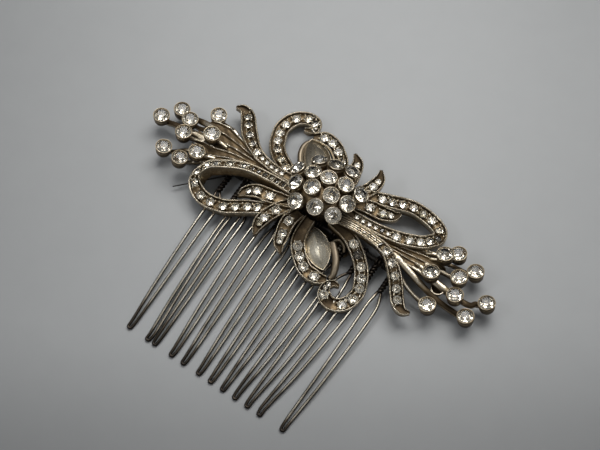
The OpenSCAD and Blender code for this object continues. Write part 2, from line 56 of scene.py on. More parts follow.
LOOP_R = [[5, 6, 8, 3, 3], [10, 8.5, 7.5, 3.4, 3], [14.5, 10.5, 6.5, 3.8, 3],
          [19.5, 12.7, 5, 3.8, 3], [24.8, 12.5, 4.5, 3.8, 3], [28, 11, 5, 3.6, 3],
          [28.8, 8.8, 6, 3.6, 3], [27.9, 6.8, 7.3, 3.6, 3], [26, 4.8, 8, 3.5, 3],
          [20.5, 2.5, 8.5, 3.3, 3], [13, 1.5, 8.5, 2.6, 3], [5, 1.5, 8.5, 2.6, 3]]
LOOP_L = [[5, 6, 8, 3, 3, 0], [10, 8.5, 7.5, 3.4, 3, 0], [14.5, 10.5, 6.5, 3.8, 3, 0],
          [20, 13.2, 5, 3.8, 3, 0], [25.5, 14, 4.5, 3.8, 3, 5], [29.3, 12.4, 5.2, 3.4, 3, 22],
          [30.2, 10.2, 6.3, 3.4, 3, 38], [29.3, 7.8, 7.4, 3.4, 3, 40], [27.5, 6, 8, 3.5, 2.8, 34],
          [20.7, 2.6, 8.6, 3.3, 2.6, 28], [13, 1.5, 8.5, 2.6, 3, 18], [5, 1.5, 8.5, 2.6, 3, 8]]
PLUME_R = [[5, -1.5, 8.5, 2.4, 2.6], [10, -1, 8.5, 2.4, 2.6], [15, -1, 8.5, 2.4, 2.6],
           [20.5, -2, 8.5, 2.8, 2.6], [25.3, -5.7, 7, 3.4, 2.6], [28.8, -10, 5.5, 3.4, 2.4],
           [31, -11.5, 5.3, 2.4, 2.2], [33, -11, 5.2, 0.6, 1.6]]
PLUME_L = [[5, -1.5, 8.5, 2.4, 2.6], [10, -1, 8.5, 2.4, 2.6], [15, -1, 8.5, 2.4, 2.6],
           [20.3, -2.3, 8.5, 3, 2.6], [25.1, -5.9, 7, 4.2, 2.6], [28.8, -10.3, 5.5, 3.8, 2.4],
           [31, -11.6, 5.3, 2.6, 2.2], [33, -11, 5.2, 0.6, 1.6]]
SCROLL_D = [[5, -2.5, 8.2, 3, 3], [9.5, -3, 7, 3.4, 2.8], [12.5, -4, 6, 3.6, 2.6],
            [17, -7.5, 4.5, 3.6, 2.4], [19.5, -12, 3.4, 3.6, 2.2], [19.5, -15, 3, 3.6, 2.2],
            [18.2, -17.6, 3, 3.6, 2.2], [15.6, -19, 3.4, 3.6, 2.2], [13.3, -18.2, 4, 3.4, 2.2],
            [12.7, -16.2, 4.9, 2.4, 2], [13.9, -15, 5.4, 1.6, 2], [15.4, -14.9, 5.6, 0.7, 1.8]]
SCROLL_U = [[5, -2.5, 8.2, 3, 3], [9.5, -3, 7, 3.4, 2.8], [12.8, -3.9, 6, 3.8, 2.6],
            [17.7, -7.3, 4.5, 4.2, 2.4], [20.1, -12, 3.4, 4.2, 2.2], [20.3, -15, 3, 4.2, 2.2],
            [19, -17.8, 3, 4, 2.2], [16.3, -19.4, 3.3, 3.8, 2.2], [13.9, -19, 3.8, 3.4, 2.2],
            [12.9, -17.2, 4.6, 2.4, 2], [13.8, -15.8, 5.2, 1.6, 2], [15, -15.3, 5.4, 0.7, 1.8]]
CRESCENT_D = [[0.5, -5, 8.2, 3, 2.8], [0.5, -9, 7, 3.4, 2.8], [1.5, -12, 6, 3.6, 2.8],
              [5.5, -15.5, 5.5, 3.6, 2.6], [9, -16, 5.3, 3.6, 2.6], [11.8, -15.2, 5, 2, 2.6]]
CRESCENT_U = [[0.5, -5, 8.2, 3, 2.8], [0.5, -9, 7, 3.4, 2.8], [2, -12.7, 6, 3.6, 2.8],
              [5.6, -15.7, 5.5, 3.6, 2.6], [9.2, -16.3, 5.3, 3.6, 2.6], [11.9, -15.1, 5, 2, 2.6]]
BAR_D = [[7.8, -6.2, 5.8, 1.6, 1.8], [9.2, -7.5, 5.6, 1.7, 1.8], [10.8, -9.2, 5.4, 1.7, 1.8],
         [11.8, -11, 5.2, 1.7, 1.8], [12.4, -12.9, 4.8, 1.6, 1.8], [12.1, -14.3, 4.4, 1.2, 1.8]]
BAR_U = [[10.2, -6.7, 5.6, 1.3, 1.8], [11.4, -8.2, 5.4, 1.4, 1.8], [12.3, -9.9, 5.2, 1.4, 1.8],
         [12.7, -12, 4.8, 1.3, 1.8], [12.3, -13.8, 4.4, 1, 1.8]]
LEAF_OUTER_D = [[-5, -3.5, 8.2, 3, 2.4], [-7.5, -7.5, 8.2, 3.6, 2.4], [-9, -11, 7.8, 3.6, 2.2],
                [-9.2, -13.5, 7.6, 2.4, 2], [-8.5, -16, 7.5, 0.6, 1.6]]
LEAF_OUTER_U = [[-5, -3.5, 8.2, 3, 2.4], [-7.4, -7.6, 8.2, 3.6, 2.4], [-8.6, -10.9, 7.8, 3.6, 2.2],
                [-8.8, -13.4, 7.6, 2.4, 2], [-7.8, -15.8, 7.5, 0.6, 1.6]]
LEAF_MIDDLE_D = [[-2.5, -5, 8.2, 3, 2.4], [-3.5, -8.5, 8.2, 3.8, 2.4], [-3, -12, 7.8, 3.6, 2.2],
                 [-2.2, -14.5, 7.6, 2.4, 2], [-0.6, -16.3, 7.5, 0.6, 1.6]]
LEAF_MIDDLE_U = [[-2.3, -5, 8.2, 3, 2.4], [-3, -8.2, 8.2, 3.8, 2.4], [-2.6, -11.7, 7.8, 3.6, 2.2],
                 [-1.8, -14.2, 7.6, 2.4, 2], [0.1, -15.9, 7.5, 0.6, 1.6]]
LEAF_INNER_R = [[5, 4, 8.2, 3, 2.4], [11, 5.5, 8.2, 3.8, 2.4], [14.5, 6, 8, 3.8, 2.4],
                [17, 7, 7.8, 2.4, 2], [18.2, 8.5, 7.6, 0.6, 1.6]]
LEAF_INNER_L = [[5, 4, 8.2, 3, 2.4], [11, 5.6, 8.2, 3.8, 2.4], [14.5, 6.2, 8, 3.6, 2.4],
                [16.8, 7.7, 7.6, 2.4, 2], [17.8, 9.6, 7.2, 0.6, 1.6]]
SPRAY_R = [[46.8, 1.3, 5.5], [44.3, -4.2, 5], [40.6, 6.7, 5.5], [34.9, 7.9, 6.5],
           [32.5, 5.1, 9], [38.2, 2.5, 7.5], [32, -0.6, 9], [39.6, -1.7, 7], [35.3, -7.1, 6]]
SPRAY_L = [[47.2, 1.8, 6], [44, -2.7, 5.5], [41.6, 8.4, 5.5], [35.9, 9.1, 7],
           [32.8, 5.9, 8.5], [39, 3.2, 8], [32.4, 0, 9], [40.1, -1, 7], [35.1, -6.4, 6]]
BEND_R = [[41, -1.4, 5], [34.4, -4.1, 5.2], [34.5, 4.6, 5.8], [29, 4.6, 6.2], [27, 3.4, 7],
          [31, 1.6, 6.6], [27, 0.2, 7.2], [33, -1.6, 6], [27.9, -5.4, 5.5]]
BEND_L = [[41, 1.4, 5.2], [35, -2.6, 6], [34.5, 5.2, 5.8], [29, 5.6, 6.4], [27, 3.4, 7],
          [32, 1.8, 6.8], [27, 0.2, 7.2], [33, -1, 6.4], [28.5, -4.6, 6.4]]
FAN_R = [[16, -1, 1, 7.4], [21, -1.2, 1.8, 7.2], [25.5, -1.7, 3.6, 6.8], [29, -1.6, 4.8, 6.4],
         [31.5, -1, 5.2, 6.1], [34, 0.4, 4.4, 5.8], [35, 1.4, 3.4, 5.6]]
FAN_L = [[16, -1, 1, 7.4], [21, -2, 2.2, 7.2], [26, -3.8, 4.4, 6.8], [30.5, -5.2, 7.2, 6.3],
         [33.5, -5, 7.6, 6], [36, -4.2, 5.2, 5.8], [37.6, -2.6, 1.5, 5.6]]
CLUSTER = [[-8.8, 3.2], [-4.4, 3.4], [-5.3, 7.6], [-0.9, 8.4], [3.2, 9.4], [-6.8, -0.9],
           [-0.2, 3.9], [4.1, 4.9], [-2.2, -0.4], [8.2, 5.6], [2.9, 0.3], [-4, -5],
           [7.1, 1.1], [1.1, -4.1], [5.8, -3.3]]
MARQ_D = [5.5, -9.4, -43]
MARQ_U = [7.9, -10.3, -46]
LOOP_T_R = [1.5, 2, 2.5, 3, 3.5, 4, 4.9, 6.05, 7.2, 8, 8.5, 9]
LOOP_T_L = [1.5, 2, 2.5, 3, 3.6, 4.2, 5.1, 6.2, 7.4, 8.1, 8.55, 9]
SCROLL_T_D = [2, 2.5, 3, 3.5, 4, 5, 6, 8]
SCROLL_T_U = [2, 2.5, 3, 3.5, 4, 5, 6, 7, 8]
CRESCENT_T_D = [2, 2.5, 3, 4]
CRESCENT_T_U = [2.05, 2.65, 3.35, 4.05]
PLUME_T = [3, 3.5, 4, 4.5, 5]
LOOP_SMALL_T = [9.3 + 0.22 * i for i in range(6)]
PLUME_SMALL_T = [1.4 + 0.3 * i for i in range(5)]
LEAF_T = {"outer": [1.1, 2], "middle": [1, 2], "inner": [1, 2]}
DOME_X, DOME_Y, DOME_TOP, DOME_R, CUP_H = 0.5, 1.5, 13.0, 12.0, 2.3
SPRAY_TILT = -8.0
MARQ_Z, MARQ_L, MARQ_W = 4.4, 11.4, 5.8


def half(sign, right, left):
    """The list for one half; each point of a ribbon gets a sixth number, its roll in degrees."""
    P = right if sign > 0 else left
    if isinstance(P[0], list) and len(P[0]) >= 5:
        P = [q + [0] * (6 - len(q)) for q in P]
    return P


# ---------------------------------------------------------------- mesh tools
def cr(a, b, c, d, t):
    return 0.5 * (2 * b + (c - a) * t + (2 * a - 5 * b + 4 * c - d) * t * t + (3 * b - a - 3 * c + d) * t ** 3)


def at(P, u):
    P = np.asarray(P, float)
    n = len(P)
    i = int(min(math.floor(u), n - 2))
    a = P[i - 1] if i > 0 else 2 * P[0] - P[1]
    d = P[i + 2] if i < n - 2 else 2 * P[n - 1] - P[n - 2]
    return cr(a, P[i], P[i + 1], d, u - i)


def curve(P, k):
    return np.array([at(P, i / k) for i in range((len(P) - 1) * k + 1)])


def resample(Q, step):
    """Points spaced evenly by step along a polyline of points, with all their columns."""
    d = np.r_[0, np.cumsum(np.linalg.norm(np.diff(Q[:, :3], axis=0), axis=1))]
    n = max(2, int(round(d[-1] / step)) + 1)
    s = np.linspace(0, d[-1], n)
    return np.stack([np.interp(s, d, Q[:, k]) for k in range(Q.shape[1])], 1)


def unit(a):
    return a / np.maximum(np.linalg.norm(a, axis=-1, keepdims=True), 1e-12)


def tangents(Q):
    return unit(np.gradient(Q[:, :3], axis=0))


def side_of(Q):
    """Unit vector to the right of the path, flat, as CAD has it."""
    g = np.gradient(Q[:, :2], axis=0)
    g = unit(g)
    return np.stack([g[:, 1], -g[:, 0], 0 * g[:, 0]], 1)


class Build:
    """Vertices and faces of one piece, in mm about the ornament's middle, with a value per vertex for wear and painted
    shade (0 rubbed bright, 1 dark with tarnish or painted shade).
    """

    def __init__(self):
        self.v, self.w, self.f, self.fm, self.fs = [], [], [], [], []
        self.n = 0

    def add(self, v, faces, wear_and_shade=0.5, mat=0, smooth=True, closed=True):
        """faces is a list of int arrays (k x 3 or k x 4)."""
        v = np.asarray(v, float).reshape(-1, 3)
        w = np.asarray(wear_and_shade, float)
        w = np.full(len(v), float(w)) if w.ndim == 0 else w.reshape(-1)
        faces = [np.asarray(f, int) for f in faces if len(f)]
        if closed:
            vol = 0.0
            for f in faces:
                for k in range(1, f.shape[1] - 1):
                    vol += np.einsum("ij,ij->", v[f[:, 0]] - v[0], np.cross(v[f[:, k]] - v[0], v[f[:, k + 1]] - v[0]))
            if vol < 0:
                faces = [f[:, ::-1] for f in faces]
        for f in faces:
            self.f.append(f + self.n)
            m = np.asarray(mat)
            self.fm.append(np.full(len(f), int(m)) if m.ndim == 0 else m)
            self.fs.append(np.full(len(f), bool(smooth)))
        self.v.append(v)
        self.w.append(w)
        self.n += len(v)

    def many(self, tv, tf, centres, scale=1.0, frames=None, wear_and_shade=0.3, mats=None, smooth=True):
        """Copies of one closed template (triangles) at many places."""
        centres = np.asarray(centres, float).reshape(-1, 3)
        k = len(centres)
        if not k:
            return
        sc = np.broadcast_to(np.asarray(scale, float).reshape(-1, 1, 1) if np.ndim(scale) == 1 else np.asarray(scale, float), (k, 1, 1)) if np.ndim(scale) != 2 else np.asarray(scale, float)[:, None, :]
        V = tv[None] * sc
        if frames is not None:
            V = np.einsum("kij,knj->kni", frames, V)
        V = V + centres[:, None]
        F = (tf[None] + (np.arange(k) * len(tv))[:, None, None]).reshape(-1, 3)
        w = np.repeat(np.asarray(wear_and_shade, float) if np.ndim(wear_and_shade) else np.full(k, wear_and_shade), len(tv))
        m = np.tile(np.asarray(mats), k) if mats is not None and len(mats) == len(tf) else (np.asarray(mats) if mats is not None else 0)
        self.f.append(F + self.n)
        self.fm.append(m if np.ndim(m) else np.full(len(F), int(m)))
        self.fs.append(np.full(len(F), bool(smooth)))
        self.v.append(V.reshape(-1, 3))
        self.w.append(w)
        self.n += k * len(tv)

    def make(self, name, mats, nodes, slot, sign=1):
        v = np.concatenate(self.v) * [sign, sign, 1]
        v = (v + [OX, OY, 0]) * 0.001
        mesh = bpy.data.meshes.new(name)
        sizes = np.concatenate([np.full(len(f), f.shape[1]) for f in self.f])
        idx = np.concatenate([f.ravel() for f in self.f])
        mesh.vertices.add(len(v))
        mesh.vertices.foreach_set("co", v.ravel())
        mesh.loops.add(len(idx))
        mesh.loops.foreach_set("vertex_index", idx)
        mesh.polygons.add(len(sizes))
        mesh.polygons.foreach_set("loop_start", np.r_[0, np.cumsum(sizes)[:-1]])
        mesh.polygons.foreach_set("material_index", np.concatenate(self.fm))
        mesh.polygons.foreach_set("use_smooth", np.concatenate(self.fs))
        mesh.update(calc_edges=True)
        mesh.validate()
        # per-vertex value of wear and painted shade, read by the metal materials
        att = mesh.attributes.new("wear_and_shade", "FLOAT", "POINT")
        att.data.foreach_set("value", np.clip(np.concatenate(self.w), 0, 1))
        for m in mats:
            mesh.materials.append(m)
        o = bpy.data.objects.new(name, mesh)
        bpy.context.scene.collection.objects.link(o)
        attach(o, "root")
        if nodes:
            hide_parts(*nodes)
        return o


def grid_faces(n, m, wrap=True):
    i, j = np.meshgrid(np.arange(n - 1), np.arange(m if wrap else m - 1), indexing="ij")
    i, j = i.ravel(), j.ravel()
    k = (j + 1) % m
    return np.stack([i * m + j, i * m + k, (i + 1) * m + k, (i + 1) * m + j], 1)


def sweep(b, Q, S, U, prof, wear_and_shade, mat=0, smooth=True):
    """Closed solid along Q. prof: (n, m, 2) offsets along S and U; its first row of points closes the ends with fans."""
    n, m = prof.shape[0], prof.shape[1]
    V = Q[:, None, :3] + S[:, None] * prof[:, :, :1] + U[:, None] * prof[:, :, 1:2]
    c0, c1 = V[0].mean(0), V[-1].mean(0)
    V = np.concatenate([V.reshape(-1, 3), [c0, c1]])
    w = np.broadcast_to(wear_and_shade, (n, m)).ravel()
    w = np.r_[w, w[:m].mean(), w[-m:].mean()]
    j = np.arange(m)
    k = (j + 1) % m
    caps = np.concatenate([np.stack([k, j, 0 * j + n * m], 1), np.stack([j + (n - 1) * m, k + (n - 1) * m, 0 * j + n * m + 1], 1)])
    b.add(V, [grid_faces(n, m), caps], w, mat, smooth)


def tube(b, Q, r, sides=10, wear_and_shade=0.5, mat=0, painted_side_shade=0.0):
    """Round wire along points, with frames carried along the path. The last argument adds painted shade down the sides
    of the wire, away from its top.
    """
    Q = np.asarray(Q, float)
    T = tangents(Q)
    N = np.zeros_like(T)
    ref = np.array([0, 0, 1.0]) if abs(T[0][2]) < 0.9 else np.array([1.0, 0, 0])
    N[0] = unit(np.cross(T[0], ref))
    for i in range(1, len(Q)):
        a = N[i - 1] - T[i] * (N[i - 1] @ T[i])
        N[i] = a / np.linalg.norm(a)
    B = np.cross(T, N)
    a = np.arange(sides) * TAU / sides
    rr = np.broadcast_to(np.asarray(r, float).reshape(-1, 1), (len(Q), 1))
    prof = np.stack([rr * np.cos(a), rr * np.sin(a)], 2)
    w = np.asarray(wear_and_shade, float)
    w = np.broadcast_to(w.reshape(-1, 1) if w.ndim == 1 else w, (len(Q), sides))
    nz = N[:, 2:3] * np.cos(a) + B[:, 2:3] * np.sin(a)
    w = np.clip(w + painted_side_shade * np.clip(0.96 - np.clip(nz, 0, 1), 0, 1) ** 1.15, 0, 1)
    sweep(b, Q, N, B, prof, w, mat)


def lathe(prof, n=32):
    """Closed template turned from (r, z) points that start and end on the axis: vertices and triangles."""
    prof = np.asarray(prof, float)
    a = np.arange(n) * TAU / n
    mid = prof[1:-1]
    V = np.stack([mid[:, None, 0] * np.cos(a), mid[:, None, 0] * np.sin(a), np.broadcast_to(mid[:, None, 1], (len(mid), n))], 2).reshape(-1, 3)
    V = np.concatenate([V, [[0, 0, prof[0][1]], [0, 0, prof[-1][1]]]])
    q = grid_faces(len(mid), n)
    t = np.concatenate([q[:, [0, 1, 2]], q[:, [0, 2, 3]]])
    j = np.arange(n)
    k = (j + 1) % n
    e = len(mid) * n
    t = np.concatenate([t, np.stack([k, j, 0 * j + e], 1), np.stack([j + e - n, k + e - n, 0 * j + e + 1], 1)])
    return orient(V, t)


def orient(V, t):
    vol = np.einsum("ij,ij->", V[t[:, 0]], np.cross(V[t[:, 1]], V[t[:, 2]]))
    return V, (t[:, ::-1] if vol < 0 else t)


def ball(n=8, m=6):
    z = np.cos(np.linspace(0, math.pi, m + 1))
    r = np.sin(np.linspace(0, math.pi, m + 1))
    return lathe(np.stack([r, z], 1), n)


BALL = ball(8, 6)
BALL_FINE = ball(14, 10)


def gem_template(table=0.55, crown=0.40, pav=0.80):
    """Round brilliant of radius 1: girdle at z 0. Returns vertices, triangles and 1 for each foiled (lower) face."""
    V, F, M = [], [], []

    def p(r, a, z):
        V.append((r * math.cos(a), r * math.sin(a), z))
        return len(V) - 1

    h = TAU / 16
    T = [p(table, 2 * i * h, crown) for i in range(8)]
    rm = 0.5 * (1 + table) * 1.01
    zm = crown * (1 - (rm * math.cos(h) - table) / (1 - table))
    Mi = [p(rm, (2 * i + 1) * h, zm) for i in range(8)]
    G = [p(1.0, i * h, 0.0) for i in range(16)]
    L = [p(1.0, i * h, -0.07) for i in range(16)]
    rl = 0.38
    zl = -pav + (pav - 0.07) * (rl * math.cos(h))
    Li = [p(rl, (2 * i + 1) * h, zl) for i in range(8)]
    C = p(0, 0, -pav)
    top = p(0, 0, crown)
    for i in range(8):
        j, k = (i + 1) % 8, (i - 1) % 8
        F += [(top, T[i], T[j]), (T[i], Mi[i], T[j]), (T[i], Mi[k], G[2 * i]), (T[i], G[2 * i], Mi[i]),
              (Mi[i], G[2 * i], G[2 * i + 1]), (Mi[i], G[2 * i + 1], G[(2 * i + 2) % 16])]
        M += [0] * 6
    for i in range(16):
        j = (i + 1) % 16
        F += [(G[i], L[i], L[j]), (G[i], L[j], G[j])]
        M += [1, 1]
    for i in range(8):
        k = (i - 1) % 8
        F += [(C, Li[i], L[2 * i]), (C, L[2 * i], Li[k]), (Li[i], L[2 * i + 1], L[2 * i]), (Li[i], L[(2 * i + 2) % 16], L[2 * i + 1])]
        M += [1] * 4
    V, F, M = np.array(V), np.array(F), np.array(M)
    # every face outward from the middle of the stone
    c = V[F].mean(1) - [0, 0, -0.2]
    nrm = np.cross(V[F[:, 1]] - V[F[:, 0]], V[F[:, 2]] - V[F[:, 0]])
    flip = np.einsum("ij,ij->i", c, nrm) < 0
    F[flip] = F[flip][:, ::-1]
    return V, F, M


GEM = gem_template()
CUP_GEM = gem_template(table=0.56, crown=0.38, pav=0.80)


def spin_frames(k, axis=None, tilt=4.0):
    """k rotation matrices: a random turn about the stone's axis, then the axis tilted a little, then onto axis."""
    out = []
    for i in range(k):
        a = rng.uniform(0, TAU)
        R = np.array([[math.cos(a), -math.sin(a), 0], [math.sin(a), math.cos(a), 0], [0, 0, 1]])
        t, d = math.radians(tilt) * rng.uniform(0.2, 1), rng.uniform(0, TAU)
        ax = np.array([math.sin(t) * math.cos(d), math.sin(t) * math.sin(d), math.cos(t)])
        R = onto(ax) @ R
        if axis is not None:
            R = onto(axis[i]) @ R
        out.append(R)
    return np.array(out)


def onto(ax):
    ax = np.asarray(ax, float) / np.linalg.norm(ax)
    z = np.array([0, 0, 1.0])
    v = np.cross(z, ax)
    c = z @ ax
    if np.linalg.norm(v) < 1e-9:
        return np.eye(3)
    K = np.array([[0, -v[2], v[1]], [v[2], 0, -v[0]], [-v[1], v[0], 0]])
    return np.eye(3) + K + K @ K / (1 + c)


# ---------------------------------------------------------------- materials
def new_mat(name):
    m = bpy.data.materials.new(name)
    m.use_nodes = True
    nt = m.node_tree
    return m, nt, nt.nodes["Principled BSDF"]


def node(nt, kind, **kw):
    n = nt.nodes.new(kind)
    for k, v in kw.items():
        setattr(n, k, v)
    return n


def noise(nt, co, scale, detail=3.0, rough=0.55, stretch=None):
    n = node(nt, "ShaderNodeTexNoise")
    n.inputs["Scale"].default_value = scale
    n.inputs["Detail"].default_value = detail
    n.inputs["Roughness"].default_value = rough
    if stretch:
        mp = node(nt, "ShaderNodeMapping")
        mp.inputs["Scale"].default_value = stretch
        nt.links.new(co, mp.inputs["Vector"])
        co = mp.outputs["Vector"]
    nt.links.new(co, n.inputs["Vector"])
    return n.outputs["Fac"]


def math_node(nt, op, a, b=None, clamp=False):
    n = node(nt, "ShaderNodeMath", operation=op, use_clamp=clamp)
    for i, x in enumerate((a, b)):
        if x is None:
            continue
        if isinstance(x, (int, float)):
            n.inputs[i].default_value = x
        else:
            nt.links.new(x, n.inputs[i])
    return n.outputs[0]


def ramp(nt, fac, stops):
    r = node(nt, "ShaderNodeValToRGB")
    e = r.color_ramp.elements
    while len(e) < len(stops):
        e.new(0.5)
    for k, (pos, col) in enumerate(stops):
        e[k].position = pos
        e[k].color = (*col, 1) if len(col) == 3 else col
    nt.links.new(fac, r.inputs["Fac"])
    return r.outputs["Color"]


def remap(nt, fac, a, b, c, d):
    n = node(nt, "ShaderNodeMapRange")
    for k, v in zip(("From Min", "From Max", "To Min", "To Max"), (a, b, c, d)):
        n.inputs[k].default_value = v
    nt.links.new(fac, n.inputs["Value"])
    return n.outputs["Result"]


def metal(name, stops, rough=(0.2, 0.55), metallic=(1.0, 0.75), grain=0.35, spread=0.55, scale=1.0):
    """Worn plated metal: colour, roughness and metalness follow the mesh's per-vertex value of wear and painted shade,
    broken up by noise.
    """
    m, nt, bsdf = new_mat(name)
    co = node(nt, "ShaderNodeTexCoord").outputs["Object"]
    att = node(nt, "ShaderNodeAttribute", attribute_name="wear_and_shade").outputs["Fac"]
    big = noise(nt, co, 420 * scale, 4)
    fine = noise(nt, co, 2600 * scale, 5, 0.65)
    pits = noise(nt, co, 6500 * scale, 2)
    k = math_node(nt, "ADD", att, math_node(nt, "MULTIPLY", math_node(nt, "SUBTRACT", big, 0.5), spread))
    k = math_node(nt, "ADD", k, math_node(nt, "MULTIPLY", math_node(nt, "SUBTRACT", fine, 0.5), spread * 0.8), clamp=True)
    nt.links.new(ramp(nt, k, stops), bsdf.inputs["Base Color"])
    nt.links.new(remap(nt, k, 0, 1, *rough), bsdf.inputs["Roughness"])
    nt.links.new(remap(nt, k, 0.2, 1, *metallic), bsdf.inputs["Metallic"])
    bump = node(nt, "ShaderNodeBump")
    bump.inputs["Strength"].default_value = grain
    bump.inputs["Distance"].default_value = 0.00004
    nt.links.new(math_node(nt, "ADD", fine, math_node(nt, "MULTIPLY", pits, 0.5)), bump.inputs["Height"])
    nt.links.new(bump.outputs["Normal"], bsdf.inputs["Normal"])
    return m


CAST = metal("antique_silver", [(0.0, (0.88, 0.825, 0.715)), (0.25, (0.62, 0.545, 0.42)), (0.5, (0.355, 0.284, 0.185)), (0.75, (0.172, 0.123, 0.068)), (1.0, (0.062, 0.042, 0.022))], rough=(0.18, 0.48), grain=0.35, spread=0.6)
BROWN = metal("tarnished_bar", [(0.0, (0.58, 0.53, 0.45)), (0.5, (0.30, 0.25, 0.185)), (1.0, (0.10, 0.075, 0.045))], rough=(0.24, 0.46), grain=0.15, spread=0.3)
WIRE = metal("tooth_wire", [(0.0, (0.96, 0.93, 0.86)), (0.25, (0.66, 0.60, 0.49)), (0.55, (0.13, 0.105, 0.076)), (1.0, (0.018, 0.014, 0.011))], rough=(0.08, 0.3), grain=0.04, spread=0.1)
BLACK = metal("blackened_wire", [(0.0, (0.26, 0.24, 0.21)), (0.4, (0.075, 0.068, 0.06)), (1.0, (0.018, 0.016, 0.014))], rough=(0.25, 0.6), metallic=(1.0, 0.6), grain=0.2, spread=0.4)


def glass(name, tint, rough=(0.0, 0.015)):
    m, nt, bsdf = new_mat(name)
    co = node(nt, "ShaderNodeTexCoord").outputs["Object"]
    n = noise(nt, co, 900, 4)
    nt.links.new(ramp(nt, n, [(0.3, tint), (0.75, tuple(0.93 * c for c in tint))]), bsdf.inputs["Base Color"])
    nt.links.new(remap(nt, n, 0.45, 0.8, *rough), bsdf.inputs["Roughness"])
    bsdf.inputs["Transmission Weight"].default_value = 1.0
    bsdf.inputs["IOR"].default_value = 1.56
    return m


def foil(name, a, b, rough=(0.02, 0.12)):
    m, nt, bsdf = new_mat(name)
    co = node(nt, "ShaderNodeTexCoord").outputs["Object"]
    n = noise(nt, co, 1500, 5, 0.6)
    nt.links.new(ramp(nt, n, [(0.35, a), (0.7, b)]), bsdf.inputs["Base Color"])
    nt.links.new(remap(nt, n, 0.35, 0.75, *rough), bsdf.inputs["Roughness"])
    bsdf.inputs["Metallic"].default_value = 1.0
    return m


GLASS = glass("clear_stone_glass", (1.0, 0.992, 0.965))
FOIL = foil("stone_foil", (0.97, 0.945, 0.89), (0.84, 0.805, 0.735), rough=(0.01, 0.07))
FOIL_DULL = foil("stone_foil_aged", (0.74, 0.71, 0.63), (0.46, 0.42, 0.34), rough=(0.08, 0.32))
FOIL_DARK = foil("stone_foil_dark", (0.46, 0.44, 0.41), (0.18, 0.165, 0.14), rough=(0.05, 0.3))
STONE_MATS = [GLASS, FOIL, FOIL_DULL, FOIL_DARK]


# ---------------------------------------------------------------- ribbons
def ribbon_profile(w, h, rim=0.5, deep=1.0, n=None):
    """Half-widths w and heights h per ring to the closed outline of a ribbon: walls, rounded rims, sunk floor."""
    w = w[:, None]
    h = h[:, None]
    r = np.minimum(rim, w * 0.36)
    d = np.minimum(deep, w * 0.62)
    half = [
        (w * 0.0, -d), (w - r - 0.16, -d), (w - r - 0.05, -d + 0.08), (w - r, -d * 0.6), (w - r + 0.02, -0.14),
        (w - r + 0.10, -0.03), (w - r * 0.62, 0.02), (w - r * 0.38, 0.02), (w - 0.10, -0.03), (w - 0.015, -0.14),
        (w + 0.0, -0.34), (w * 0.985, -0.4 * h), (w * 0.93, -0.72 * h), (w * 0.88, -0.93 * h), (w * 0.82, -h), (w * 0.4, -h)]
    wear_and_shade = [0.78, 0.84, 0.88, 0.74, 0.42, 0.16, 0.2, 0.2, 0.18, 0.26, 0.5, 0.64, 0.74, 0.82, 0.95, 1.0]
    left = half[1:][::-1]
    xs = [p[0] + 0 * w for p in half] + [-(p[0] + 0 * w) for p in left]
    ys = [p[1] + 0 * w for p in half] + [p[1] + 0 * w for p in left]
    return np.stack([np.concatenate(xs, 1), np.concatenate(ys, 1)], 2), np.array(wear_and_shade + wear_and_shade[1:][::-1])


def rolled(Q, S):
    """Section axes of a ribbon that leans over by its sixth column."""
    a = np.radians(Q[:, 5:6]) if Q.shape[1] > 5 else np.zeros((len(Q), 1))
    z = np.array([0, 0, 1.0])
    return S * np.cos(a) + z * np.sin(a), z * np.cos(a) - S * np.sin(a)


def milgrain(b, Q, S, off, r=0.14, step=0.33, wear_and_shade=0.14, dz=0.04, skip=0, U=None):
    """A row of fine beads along the path at a sideways offset (in mm, or one per ring)."""
    P = Q[:, :3] + S * np.asarray(off).reshape(-1, 1) + dz * (U if U is not None else np.array([0, 0, 1.0]))
    P = resample(P, step)
    if skip:
        P = P[skip:-skip]
    k = len(P)
    b.many(*BALL, P + rng.normal(0, 0.012, (k, 3)), r * rng.uniform(0.88, 1.12, k), wear_and_shade=wear_and_shade + rng.uniform(0, 0.22, k))


def prongs(b, P, T, r_stone, floor=-0.95):
    """Four small beads round every stone, standing on the sunk floor."""
    c, s = [], []
    for t in T:
        p = at(P, t)
        g = at(P, min(t + 0.02, len(P) - 1)) - at(P, max(t - 0.02, 0))
        g = g[:2] / np.linalg.norm(g[:2])
        n = np.array([g[1], -g[0]])
        w = p[3] / 2
        a0 = math.radians(p[5]) if len(p) > 5 else 0.0
        n3 = np.array([n[0] * math.cos(a0), n[1] * math.cos(a0), math.sin(a0)])
        u3 = np.array([-n[0] * math.sin(a0), -n[1] * math.sin(a0), math.cos(a0)])
        along = r_stone + 0.12
        across = min(w - 0.42, r_stone * 0.62)
        for a in (-1, 1):
            for q in (-1, 1):
                c.append(p[:3] + np.array([g[0], g[1], 0]) * a * along + n3 * q * across - 0.24 * u3)
                s.append([0.29, 0.29, 0.58])
    s = np.array(s) * rng.uniform(0.85, 1.12, (len(s), 1))
    b.many(*BALL, c, s, wear_and_shade=0.08 + rng.uniform(0, 0.26, len(c)))


def set_stones(b, P, T, r, dz=-0.16, dull=0.25, dark=0.1, lift=0.0):
    """Round stones along a ribbon, square to its slope."""
    V, F, M = GEM
    for t in T:
        p = at(P, t)
        a, c = at(P, max(t - 0.05, 0)), at(P, min(t + 0.05, len(P) - 1))
        g = unit((c - a)[:3])
        s = np.array([g[1], -g[0], 0])
        s = unit(s)
        up = np.cross(s, g)
        if up[2] < 0:
            up = -up
        a0 = math.radians(p[5]) if len(p) > 5 else 0.0
        up = up * math.cos(a0) - s * math.sin(a0)
        R = spin_frames(1, [up], tilt=5)
        k = rng.uniform()
        mats = np.where(M == 1, 2 if k < dull else (3 if k < dull + dark else 1), 0)
        rr = r * rng.uniform(0.965, 1.0)
        b.many(V * rr, F, [p[:3] + (dz + lift) * up], 1.0, R, wear_and_shade=0.0, mats=mats, smooth=False)


